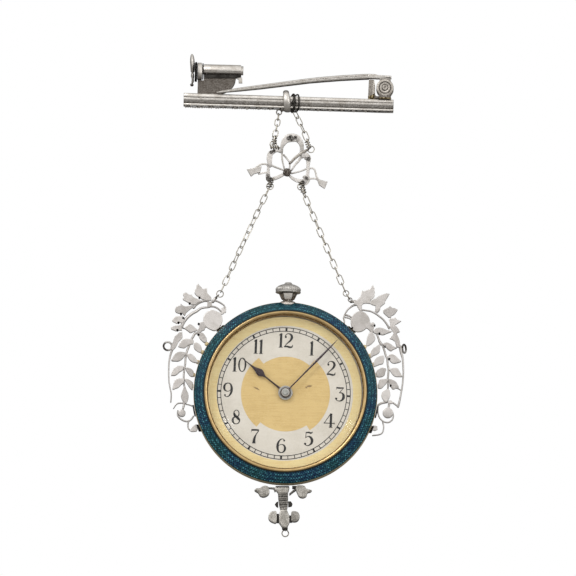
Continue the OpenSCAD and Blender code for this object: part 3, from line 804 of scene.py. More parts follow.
@dataclass(frozen=True)
class Ink:
    """Printed or lacquered dark surface that is a little uneven."""

    name: str
    base: Colour
    shade: Colour
    rough: float = 0.45
    metal: float = 0.0
    coat: float = 0.0

    def build(self) -> Material:
        """Makes the material.

        Returns:
            The material.
        """
        material, sheet, shader = new_material(self.name)
        where = sheet.place()
        uneven = sheet.noise(where, 3.0, 3.0, 0.65)
        sheet.fill(shader, Base_Color=sheet.blend(sheet.ramp(uneven, 0.4, 0.7), self.base, self.shade),
                   Metallic=self.metal, Coat_Weight=self.coat, Normal=sheet.bump(uneven, 0.004),
                   Roughness=sheet.math("MULTIPLY_ADD", uneven, 0.15, self.rough))
        return material


@dataclass(frozen=True)
class ClearGlass:
    """Thin clear glass: see-through face on, glossy at a slant, with faint fine scratches."""

    name: str = "crystal_glass"

    def build(self) -> Material:
        """Makes the material.

        Returns:
            The material.
        """
        material, sheet, shader = new_material(self.name)
        where = sheet.place()
        fine = sheet.noise(where, 2.4, 4.0, 0.7)
        sheet.fill(shader, Base_Color=(0.9, 0.93, 0.95, 1), Metallic=1.0,
                   Roughness=sheet.math("MULTIPLY_ADD", fine, 0.03, 0.1))
        clear = sheet.node("ShaderNodeBsdfTransparent", Color=(0.975, 0.985, 0.985, 1))
        slant = sheet.node("ShaderNodeFresnel", IOR=1.5)
        inside = sheet.node("ShaderNodeNewGeometry").outputs["Backfacing"]
        share = sheet.times(slant, sheet.math("MULTIPLY_ADD", inside, -0.45, 0.45))
        mixer = sheet.node("ShaderNodeMixShader")
        for socket, source in zip(mixer.inputs, (share, clear, shader)):
            sheet.put(socket, source)
        output = next(n for n in material.node_tree.nodes if n.type == "OUTPUT_MATERIAL")
        sheet.put(output.inputs[0], mixer)
        return material


@dataclass(frozen=True)
class CutGem:
    """Clear cut stone with slightly dusty facets."""

    name: str = "clear_cut_stone"

    def build(self) -> Material:
        """Makes the material.

        Returns:
            The material.
        """
        material, sheet, shader = new_material(self.name)
        where = sheet.place()
        dust = sheet.noise(where, 4.0, 3.0, 0.6)
        tint = sheet.blend(sheet.ramp(dust, 0.45, 0.7), (0.62, 0.63, 0.64, 1), (0.36, 0.35, 0.33, 1))
        sheet.fill(shader, Base_Color=tint, Transmission_Weight=0.5, IOR=1.6,
                   Roughness=sheet.math("MULTIPLY_ADD", dust, 0.2, 0.1))
        return material


class Finishes:
    """All materials of the jewel, each made once."""

    def __init__(self) -> None:
        """Builds every finish."""
        self.white = WornMetal("matt_white_metal", (0.565, 0.54, 0.52, 1), (0.485, 0.46, 0.435, 1),
                               (0.045, 0.036, 0.03, 1), 0.44, 0.8, 0.006).build()
        self.bar = WornMetal("brooch_white_metal", (0.62, 0.595, 0.56, 1), (0.46, 0.43, 0.39, 1),
                             (0.03, 0.022, 0.017, 1), 0.37, 0.8, 0.01, 0.2).build()
        self.fitting = WornMetal("aged_fitting_metal", (0.46, 0.43, 0.39, 1), (0.31, 0.28, 0.245, 1),
                                 (0.04, 0.03, 0.024, 1), 0.36, 1.1, 0.012, 0.2).build()
        self.chain = WornMetal("chain_white_metal", (0.5, 0.47, 0.41, 1), (0.25, 0.225, 0.18, 1),
                               (0.04, 0.03, 0.025, 1), 0.3, 1.4, 0.01, 0.3).build()
        self.finial = WornMetal("aged_finial_metal", (0.46, 0.44, 0.405, 1), (0.26, 0.245, 0.215, 1),
                                (0.03, 0.026, 0.024, 1), 0.36, 1.1, 0.02, 0.45).build()
        self.crown = WornMetal("crown_nickel", (0.47, 0.455, 0.43, 1), (0.34, 0.325, 0.3, 1),
                               (0.07, 0.055, 0.04, 1), 0.44, 1.2, 0.008, 0.05).build()
        self.neck = WornMetal("polished_neck", (1.0, 0.95, 0.89, 1), (0.95, 0.87, 0.8, 1),
                              (0.07, 0.05, 0.035, 1), 0.4, 1.0, 0.006).build()
        self.ribbon = WornMetal("ribbon_white_metal", (0.6, 0.575, 0.55, 1), (0.44, 0.42, 0.385, 1),
                                (0.03, 0.026, 0.022, 1), 0.42, 1.0, 0.012, 0.1).build()
        # This dark finish also colours the black pieces that stand for shadow.
        self.dark = WornMetal("blackened_metal_and_painted_shadow", (0.05, 0.047, 0.043, 1), (0.022, 0.02, 0.018, 1),
                              (0.008, 0.007, 0.006, 1), 0.38, 1.2, 0.01).build()
        self.gold = WornMetal("bezel_gold", (0.5, 0.36, 0.175, 1), (0.38, 0.26, 0.115, 1),
                              (0.13, 0.07, 0.025, 1), 0.28, 0.5, 0.006).build()
        self.case_gold = WornMetal("case_gold", (0.72, 0.61, 0.38, 1), (0.63, 0.52, 0.3, 1),
                                   (0.05, 0.035, 0.015, 1), 0.36, 0.5, 0.006, 0.05).build()
        self.enamel = RingEnamel().build()
        self.silvered = DialSkin("silvered_dial", (0.51, 0.46, 0.405, 1), (0.44, 0.39, 0.333, 1), 0.05,
                                 0.15).build()
        self.gilt = DialSkin("gilt_dial", (0.51, 0.353, 0.143, 1), (0.44, 0.293, 0.107, 1), 0.1, 0.45, (
            (-4.35, -44.2, 0.62, 0.17, -27.0), (3.55, -43.8, 0.52, 0.18, 8.0),
            (3.1, -44.0, 0.22, 0.14, -30.0))).build()
        self.margin = DialSkin("gilt_flange", (0.59, 0.465, 0.225, 1), (0.54, 0.385, 0.165, 1), 0.0,
                               0.5).build()
        self.print = Ink("dial_print", (0.009, 0.007, 0.007, 1), (0.018, 0.014, 0.013, 1), 0.6).build()
        self.hands = Ink("brown_steel", (0.03, 0.015, 0.018, 1), (0.05, 0.027, 0.031, 1), 0.28, 0.6,
                         0.4).build()
        self.glass = ClearGlass().build()
        self.gem = CutGem().build()


@dataclass
class Workshop:
    """Turns shells and grown meshes into finished pieces that ride on their bodies, and dresses CAD nodes
    that stay.
    """

    frame: dict
    made: list[bpy.types.Object] = field(default_factory=list)

    def keep(self, obj: bpy.types.Object, material: Material, replaces: Sequence[str] = (),
             slot: str = "silver", body: Body = Body.JEWEL, sharp: float = 40.0) -> None:
        """Gives a piece its material, shading and body.

        Args:
            obj: the piece.
            material: its material.
            replaces: CAD nodes that it stands for.
            slot: not used.
            body: the body that it rides on.
            sharp: edges steeper than this many degrees stay sharp.
        """
        if obj.name not in bpy.context.scene.collection.objects:
            bpy.context.scene.collection.objects.link(obj)
        obj.data.materials.clear()
        obj.data.materials.append(material)
        obj.data.polygons.foreach_set("material_index", [0] * len(obj.data.polygons))
        obj.data.polygons.foreach_set("use_smooth", [True] * len(obj.data.polygons))
        obj.data.set_sharp_from_angle(angle=radians(sharp))
        obj.data.update()
        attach(obj, body.value)
        if replaces:
            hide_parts(*replaces)
        self.made.append(obj)
        triangles = sum(len(p.vertices) - 2 for p in obj.data.polygons)
        LOG.info("%s: %d triangles on %s", obj.name, triangles, body.value)

    def piece(self, name: str, shell: Shell, material: Material, replaces: Sequence[str] = (),
              slot: str = "silver", body: Body = Body.JEWEL, sharp: float = 40.0) -> None:
        """Makes a piece from a shell; the arguments are those of keep."""
        self.keep(bpy.data.objects.new(name, shell.mesh(name)), material, replaces, slot, body, sharp)

    def dress(self, node: str, material: Material) -> None:
        """Gives a CAD node that stays a better material.

        Args:
            node: the node.
            material: its material.
        """
        obj = self.frame["nodes"][node]
        if not obj.data.materials:
            obj.data.materials.append(material)
        for i in range(len(obj.data.materials)):
            obj.data.materials[i] = material
        LOG.info("%s: CAD node with %s", node, material.name)


def settle(obj: bpy.types.Object) -> None:
    """Turns an object's modifiers into plain mesh and removes them.

    Args:
        obj: the object.
    """
    graph = bpy.context.evaluated_depsgraph_get()
    graph.update()
    mesh = bpy.data.meshes.new_from_object(obj.evaluated_get(graph))
    obj.modifiers.clear()
    obj.data = mesh


class Grower(NodeTree):
    """Builds one Geometry Nodes tree with named inputs."""

    def __init__(self, name: str) -> None:
        """Starts the tree with a geometry coming in and one going out.

        Args:
            name: its name.
        """
        super().__init__(bpy.data.node_groups.new(name, "GeometryNodeTree"))
        for way in ("INPUT", "OUTPUT"):
            self.tree.interface.new_socket(name="Geometry", in_out=way, socket_type="NodeSocketGeometry")
        self.inlet = self.tree.nodes.new("NodeGroupInput")

    def size(self, name: str, value: float) -> Socket:
        """Adds a named input with its usual value.

        Args:
            name: its name.
            value: its usual value.

        Returns:
            The input.
        """
        item = self.tree.interface.new_socket(name=name, in_out="INPUT", socket_type="NodeSocketFloat")
        item.default_value = value
        return self.inlet.outputs[name]

    @property
    def incoming(self) -> Socket:
        """The geometry that comes in."""
        return self.inlet.outputs["Geometry"]

    def stand(self, instance: Source, **more: object) -> Socket:
        """Puts an instance on every incoming point, turned as the point says.

        Args:
            instance: what stands there.
            more: the node's other inputs.

        Returns:
            The instances.
        """
        stored = self.node("GeometryNodeInputNamedAttribute", {"data_type": "FLOAT_VECTOR"}, Name="facing")
        turn = self.node("FunctionNodeEulerToRotation", Euler=stored)
        return self.node("GeometryNodeInstanceOnPoints", Points=self.incoming, Instance=instance,
                         Rotation=turn, **more).outputs[0]

    def join(self, *parts: Source) -> Socket:
        """Joins geometries.

        Args:
            parts: the geometries.

        Returns:
            All of them as one.
        """
        joined = self.node("GeometryNodeJoinGeometry")
        for part in parts:
            self.put(joined.inputs[0], part)
        return joined.outputs[0]

    def finish(self, geometry: Source, material: Material) -> Tree:
        """Ends the tree with Realize Instances and Set Material.

        Args:
            geometry: the outcome.
            material: its material.

        Returns:
            The finished tree.
        """
        real = self.node("GeometryNodeRealizeInstances", Geometry=geometry)
        painted = self.node("GeometryNodeSetMaterial", Geometry=real, Material=material)
        self.tree.links.new(painted.outputs[0], self.tree.nodes.new("NodeGroupOutput").inputs["Geometry"])
        return self.tree


def grow(name: str, seed: bpy.types.Mesh, tree: Tree, sizes: dict[str, float]) -> bpy.types.Object:
    """Runs a tree on a seed mesh and keeps the outcome as plain mesh.

    Args:
        name: name of the new object.
        seed: mesh that goes into the tree.
        tree: the Geometry Nodes tree.
        sizes: values of its named inputs.

    Returns:
        The object with its finished mesh and no modifier.
    """
    obj = bpy.data.objects.new(name, seed)
    bpy.context.scene.collection.objects.link(obj)
    modifier = obj.modifiers.new("grow", "NODES")
    modifier.node_group = tree
    for item in tree.interface.items_tree:
        if item.item_type == "SOCKET" and item.in_out == "INPUT" and item.name in sizes:
            modifier[item.identifier] = sizes[item.name]
    settle(obj)
    tidy_mesh(obj.data)
    if "shade_and_patina" not in obj.data.attributes:
        obj.data.attributes.new("shade_and_patina", "FLOAT", "POINT")
    return obj


def seed_points(name: str, points: Sequence[Vector], turns: Sequence[Vector]) -> bpy.types.Mesh:
    """Loose points in metres, each with the turn of what will stand there.

    Args:
        name: name of the mesh.
        points: places in millimetres.
        turns: Euler angles in radians, stored as the attribute "facing".

    Returns:
        The mesh of points.
    """
    mesh = bpy.data.meshes.new(name)
    mesh.from_pydata([tuple(p * MM) for p in points], [], [])
    layer = mesh.attributes.new("facing", "FLOAT_VECTOR", "POINT")
    layer.data.foreach_set("vector", [c for t in turns for c in t])
    return mesh


# Bar brooch


@dataclass
class BarBrooch:
    """The grooved bar with its stones, the pin with its hinge, and the catch, drawn level and then tilted."""

    tilt: float = 0.9
    bar_x: float = 0.1
    half_length: float = 15.75
    bar_h: float = 1.3
    stone_count: int = 17
    stone_pitch: float = 1.78
    stone_r: float = 0.66
    edge_pitch: float = 0.35
    edge_count: int = 89
    pivot: Flat = (14.5, 1.6)
    pin_lean: float = 0.05766
    tube_z: float = 3.8
    # Depth, height and darkening of each point of the bar's half section; the darkening is painted shade in
    # the grooves and on the faces that turn downwards.
    front_half: tuple[Triple, ...] = table(3, -80, 0, 0, -95, -3, 0, -104, -12, 0, -110, -30, 5,
                                           -112, -45, 10, -110, -50, 80, -110, -56, 80, -113, -60, 30,
                                           -115, -75, 20, -115, -88, 30, -111, -98, 55, -107, -115, 50,
                                           -102, -128, 50, -96, -135, 80, -94, -140, 80, -102, -143, 40,
                                           -113, -148, 10, -115, -155, 0, -115, -168, 0, -109, -173, 10,
                                           -86, -174, 40, -86, -130, 90)

    def turn(self) -> Matrix:
        """The bar's tilt."""
        return Matrix.Rotation(radians(self.tilt), 3, "Y")

    def stone_tree(self, material: Material) -> Tree:
        """A row of cut stones with a table, eight crown facets and eight pavilion facets.

        Args:
            material: material of the stones.

        Returns:
            The Geometry Nodes tree.
        """
        g = Grower("stone_row")
        radius = g.size("Stone radius", self.stone_r * MM)
        crown = g.size("Crown height", 0.2 * MM)
        pavilion = g.size("Pavilion height", 0.25 * MM)
        cones = []
        for top, depth, turn in ((0.6, pavilion, 0.0), (0.58, crown, pi)):
            cone = g.node("GeometryNodeMeshCone", Vertices=8, Radius_Top=g.times(radius, top),
                          Radius_Bottom=radius, Depth=depth)
            cones.append(g.node("GeometryNodeTransform", Geometry=cone, Rotation=(turn, 0, 0)))
        return g.finish(g.stand(g.join(*cones)), material)

    def claw_tree(self, material: Material) -> Tree:
        """Beads of metal that hold the stones, each a little pressed.

        Args:
            material: material of the beads.

        Returns:
            The Geometry Nodes tree.
        """
        g = Grower("claw_beads")
        radius = g.size("Bead radius", 0.17 * MM)
        bead = g.node("GeometryNodeMeshUVSphere", Segments=10, Rings=6, Radius=radius)
        uneven = g.node("FunctionNodeRandomValue", {"data_type": "FLOAT"}, Min=0.8, Max=1.15, Seed=7)
        return g.finish(g.stand(bead, Scale=next(s for s in uneven.outputs if s.enabled)), material)

    def stones(self, shop: Workshop, look: Finishes) -> None:
        """Sets the stones, their beads and the beaded edge along the bar's underside.

        Args:
            shop: the workshop that keeps the pieces.
            look: the finishes.
        """
        lean = Vector((0, radians(self.tilt), 0))
        spots = [self.bar_x + (i - (self.stone_count - 1) / 2) * self.stone_pitch
                 for i in range(self.stone_count)]
        gem_rows = [Vector((x, 0.0, -self.bar_h - 0.29)) for x in spots]
        claws = [Vector((x + self.stone_pitch / 2, y, -1.7)) for x in spots[:-1] for y in (-0.72, 0.72)]
        first = self.bar_x - self.edge_pitch * (self.edge_count - 1) / 2
        edge = [Vector((first + self.edge_pitch * i, y, -1.74)) for i in range(self.edge_count)
                for y in (-0.99, 0.99)]
        for key, points, tree, finish, slot in (
                ("stone_row", gem_rows, self.stone_tree(look.gem), look.gem, "stone"),
                ("claw_beads", claws, self.claw_tree(look.bar), look.bar, "silver"),
                ("edge_beads", edge, self.claw_tree(look.bar), look.bar, "silver")):
            seed = seed_points(f"bar_{key}_seed", [self.turn() @ p for p in points], [lean] * len(points))
            sizes = {"Bead radius": (0.24 if key == "claw_beads" else 0.14) * MM}
            row = grow(f"bar_{key}", seed, tree, sizes)
            shop.keep(row, finish, ["bar_stones"] if slot == "stone" else [], slot, sharp=15.0)

    def beam(self) -> Shell:
        """The grooved bar with its two rails below, a little higher at the left and deeper at the right.

        Returns:
            The shell.
        """
        profile = [*self.front_half, *((-y, z, tone) for y, z, tone in reversed(self.front_half))]
        left, right = self.bar_x - self.half_length, self.bar_x + self.half_length

        def shape(x: float, y: float, z: float) -> Vector:
            """Raises the top towards the left and lowers the foot towards the right."""
            t = (x - left) / (right - left)
            return Vector((x, y, z + 0.12 * (1 - t) * max(0.0, 1 + z / 0.6) - 0.14 * t + 0.05 * t * z / 1.7))
        steps = [(left + (right - left) * i / 24, 1.0) for i in range(1, 24)]
        stations = [(left, 0.93), (left + 0.06, 0.99), *steps, (right - 0.06, 0.99), (right, 0.93)]
        return Shell().draw_out(profile, stations, shape)

    def hinge(self) -> Shell:
        """The knuckle's two turned ears with the rivet between them, the foot and the stop post.

        Returns:
            The shell.
        """
        shell = Shell()
        x, z = self.pivot
        # The third column darkens the ears' grooves and middles with painted shade.
        face = table(3, 130, 56, 20, 130, 112, 20, 125, 124, 10, 112, 128, 0, 94, 126, 20, 90, 116, 100,
                     84, 116, 100, 80, 127, 20, 55, 128, 0, 48, 124, 40, 45, 114, 100, 40, 114, 100,
                     40, 138, 20, 30, 143, 0, 12, 138, 60, 0, 136, 70)
        for way in (1, -1):
            profile = [(0.0, way * 0.56), *((r, way * h) for r, h, _ in face)]
            shell.lathe(profile, Vector((x, 0.0, z)), 64, tones=[0.2, *(tone for _, _, tone in face)])
            shell.slab([(x - 0.95, -0.08), (x + 0.95, -0.08), (x + 0.9, 0.7), (x - 0.9, 0.7)],
                       min(way * 0.6, way * 1.25), max(way * 0.6, way * 1.25), 0.06, 0.7)
        shell.lathe([(0.0, -0.6), (0.4, -0.6), (0.4, 0.6), (0.0, 0.6)], Vector((x, 0.0, z)), 32)
        shell.slab([(12.9, -0.06), (x + 0.9, -0.06), (x + 0.9, 0.3), (13.3, 0.32), (13.0, 0.5)], -1.0, 1.0,
                   0.05, 0.7)
        shell.slab(table(2, 1198, -4, 1260, -4, 1260, 286, 1220, 288, 1206, 278, 1200, 70),
                   -0.7, 0.7, 0.08, 0.45)
        shell.slab(table(2, 1260, -4, 1305, -4, 1305, 60, 1300, 210, 1285, 278, 1260, 286),
                   -0.62, 0.62, 0.08, 0.0)
        return shell

    def pin(self) -> Shell:
        """The pin with its hub and the flat shoulder.

        Returns:
            The shell.
        """
        shell = Shell()
        x, z = self.pivot
        shell.lathe(table(2, 46, -50, 104, -50, 110, -42, 110, 42, 104, 50, 46, 50),
                    Vector((x, 0.0, z)), 48, 0.4)
        shell.slab([(x - 0.8, 2.3), (x + 0.8, 2.3), (x + 0.85, 3.1), (x - 0.85, 3.1)], -0.46, 0.46, 0.06, 0.5)
        shell.slab(table(2, 1185, 308, 1330, 302, 1535, 306, 1545, 315, 1542, 352, 1520, 356, 1340, 360,
                         1300, 374, 1210, 376, 1185, 360), -0.5, 0.5, 0.13, 0.15)
        loops, tones = [], []
        for px, pz, radius in table(3, 1210, 336, 45, 1100, 328, 46, 800, 302, 45, 500, 268, 44,
                                    300, 242, 42, 0, 193, 40, -400, 128, 37, -700, 82, 32, -900, 50, 24,
                                    -1050, 26, 15, -1075, 22, 6):
            middle = Vector((px, -(11.9 - px) * self.pin_lean, pz))
            loops.append(circle(middle, radius, BACK, UP, 24))
            tones += [self.pin_tone(a) for a in full_turn(24)]
        shell.loft(loops)
        shell.shade_and_patina[-len(tones):] = tones
        return shell

    @staticmethod
    def pin_tone(angle: float) -> float:
        """Painted shade round the pin: a thin dark line along its side that stands for a reflection, and a
        shaded underside.
        """
        rise, underside, line, half_line = sin(angle), -0.7, 0.15, 0.14
        return 0.75 if rise < underside else 0.8 if abs(rise - line) < half_line else 0.0

    def catch(self) -> tuple[Shell, Shell]:
        """The catch's plate and the slotted tube along its top.

        Returns:
            The plate and the tube.
        """
        plate, tube = Shell(), Shell()
        plate.slab(table(2, -1360, 5, -1040, 5, -950, 30, -890, 70, -830, 125, -800, 185, -785, 275,
                         -785, 310, -1266, 310, -1270, 219, -1360, 219), -0.3, 0.3, 0.05, 0.75)
        tube.slab(table(2, -785, 275, -695, 275, -690, 190, -745, 190, -750, 245, -785, 260),
                  -0.25, 0.25, 0.06, 0.1)
        section = []
        # Painted shade darkens the tube's underside and inner wall, and a painted dark reflection line runs
        # just below its middle.
        for radius, angles in ((0.85, range(231, 570, 6)), (0.72, range(567, 228, -6))):
            for a in angles:
                rise = sin(radians(a))
                tone = 1.0 if rise < -0.6 or radius < 0.8 else 0.75 if -0.34 < rise < -0.2 else 0.0
                section.append((radius * cos(radians(a)), radius * rise, tone))
        tube.draw_out(section, [(-12.72, 0.98), (-12.67, 1.0), (-7.2, 1.0), (-7.15, 0.98)],
                      lambda x, y, z: Vector((x, y, z + self.tube_z)))
        return plate, tube

    def slide(self) -> tuple[Shell, Shell]:
        """The inner tube with its collar and thumb leaf, and the black disc and oval beside the collar that
        stand for shadow.

        Returns:
            The inner tube and the black parts that stand for shadow.
        """
        shell, shadow_parts = Shell(), Shell()
        middle = Vector((0.0, 0.0, self.tube_z))
        shell.lathe(table(2, 0, -1300, 68, -1300, 68, -685, 64, -680, 52, -680, 50, -690, 50, -800, 0, -800),
                    middle, 48, 0.2, axis=Axis.BAR)
        oval = [(cos(a), 1.32 * sin(a), 0.6 * max(0.0, -sin(a)) ** 2) for a in full_turn(48)]
        for one, steps in ((shell, table(2, -1370, 40, -1370, 90, -1360, 100, -1310, 100, -1298, 92,
                                         -1298, 40)),
                           (shadow_parts, [(-12.94, 0.7), (-12.94, 0.93), (-12.78, 0.93), (-12.76, 0.7)])):
            one.draw_out(oval, steps, lambda x, y, z: Vector((x, y, z + 3.55)))
        shell.stack(table(4, -1442, 330, 15, 20, -1440, 350, 30, 50, -1442, 410, 33, 85, -1446, 480, 36, 95,
                          -1450, 540, 33, 75, -1454, 590, 24, 40, -1455, 615, 10, 12), 0.1)
        shell.stack([(-14.46, 1.25, 0.1, 0.1), (-14.46, 1.35, 0.24, 0.24), (-14.46, 1.55, 0.27, 0.27),
                     (-14.46, 1.72, 0.14, 0.2)], 1.0)
        shell.stack(table(4, -1442, 170, 12, 20, -1434, 200, 20, 50, -1436, 240, 16, 70, -1440, 280, 26, 75,
                          -1442, 320, 20, 60, -1442, 340, 10, 30), 0.3)
        shadow_parts.lathe(table(2, 0, -1408, 135, -1408, 150, -1398, 150, -1382, 140, -1372, 0, -1372),
                     Vector((0.0, 0.0, 3.45)), 48, 1.0, axis=Axis.BAR)
        return shell, shadow_parts

    def build(self, shop: Workshop, look: Finishes) -> None:
        """Builds the whole brooch.

        Args:
            shop: the workshop that keeps the pieces.
            look: the finishes.
        """
        (plate, tube), (inner, shadow_parts) = self.catch(), self.slide()
        solder = Shell()
        solder.slab(table(2, 1200, -10, 1330, -10, 1295, 80, 1260, 50, 1202, 35), -0.78, -0.6, 0.05, 0.9)
        solder.slab([(13.6, -0.1), (15.5, -0.1), (15.4, 0.12), (13.7, 0.12)], -1.3, -1.0, 0.05, 0.85)
        slot = Shell()
        slot.slab(table(2, -1270, 250, -820, 260, -710, 286, -710, 305, -1270, 305), -0.46, 0.46, 0.03)
        parts = (("grooved_bar", self.beam(), look.bar, Body.JEWEL, ["brooch_bar"]),
                 ("hinge_knuckle", self.hinge(), look.fitting, Body.JEWEL, ["hinge_block"]),
                 ("brooch_pin", self.pin(), look.bar, Body.PIN, ["pin_stem"]),
                 ("hinge_solder", solder, look.case_gold, Body.JEWEL, []),
                 ("catch_shadow_gap", slot, look.dark, Body.JEWEL, []),
                 ("catch_tube", tube, look.bar, Body.JEWEL, ["catch_housing"]),
                 ("catch_plate", plate, look.fitting, Body.JEWEL, []),
                 ("catch_inner_tube", inner, look.bar, Body.SLIDER, ["catch_slide"]),
                 ("catch_shadow_parts", shadow_parts, look.dark, Body.SLIDER, []))
        for name, shell, finish, body, nodes in parts:
            shop.piece(name, shell.moved(self.turn()), finish, nodes, body=body)
        self.stones(shop, look)


@dataclass
class Hangers:
    """The bail and the dark wire ring that carry the chains from the bar."""

    foot: Flat = (0.95, -2.19)
    half: Flat = (1.5, 1.24)

    def ring(self) -> Shell:
        """The squared oval ring: a thick wire and a thin one side by side, with the ball that closes them.

        Returns:
            The shell.
        """
        shell = Shell()
        for shift, wire, turned in ((-0.22, 0.19, 8.0), (0.28, 0.12, 16.0)):
            turn = Matrix.Rotation(radians(turned), 3, "Z")
            centre = Vector((self.foot[0] + shift, 0.0, self.foot[1] + self.half[1]))
            path = []
            for c, s in ((cos(a), sin(a)) for a in full_turn(48)):
                path.append(turn @ Vector((0.0, self.half[0] * copysign(abs(c) ** 0.6, c),
                                           self.half[1] * copysign(abs(s) ** 0.6, s))) + centre)
            shell.tube(path, wire, 12, ring=True)
        ball = table(2, 0, 120, 30, 124, 37, 138, 30, 158, 12, 170, 0, 172)
        shell.lathe(ball, Vector((0.87, 0.0, -1.05)), 24)
        return shell

    def bail(self) -> Shell:
        """The rounded band over the bar, widest below, with its arm and eye.

        Returns:
            The shell.
        """
        shell = Shell()
        loops = []
        for a in full_turn(40):
            down = 0.5 - 0.5 * sin(a)
            wide, thick = 0.44 + 0.13 * down, 0.24
            middle = Vector((-0.32 + 0.27 * down, 1.5 * cos(a), -0.66 + 1.44 * sin(a)))
            out = Vector((0.0, cos(a), sin(a)))
            loops.append(circle(middle, 1.0, RIGHT * wide, out * thick, 16))
        shell.loft(loops, ring=True)
        shell.tube([Vector(p) for p in ((-0.4, -0.6, -1.95), (-0.75, -0.3, -2.08), (-1.0, 0.0, -2.2))],
                   [0.2, 0.16, 0.12], 12, shade_and_patina=0.5)
        shell.tube(circle(Vector((-1.33, 0.0, -2.33)), 0.38, RIGHT, UP), 0.1, ring=True, shade_and_patina=0.4)
        return shell

    def build(self, shop: Workshop, look: Finishes) -> None:
        """Builds the bail and the ring."""
        shop.piece("bar_bail", self.bail(), look.bar, ["bail"])
        shop.piece("dark_bar_ring", self.ring(), look.dark, ["bar_ring"], "dark_silver")


# Chains


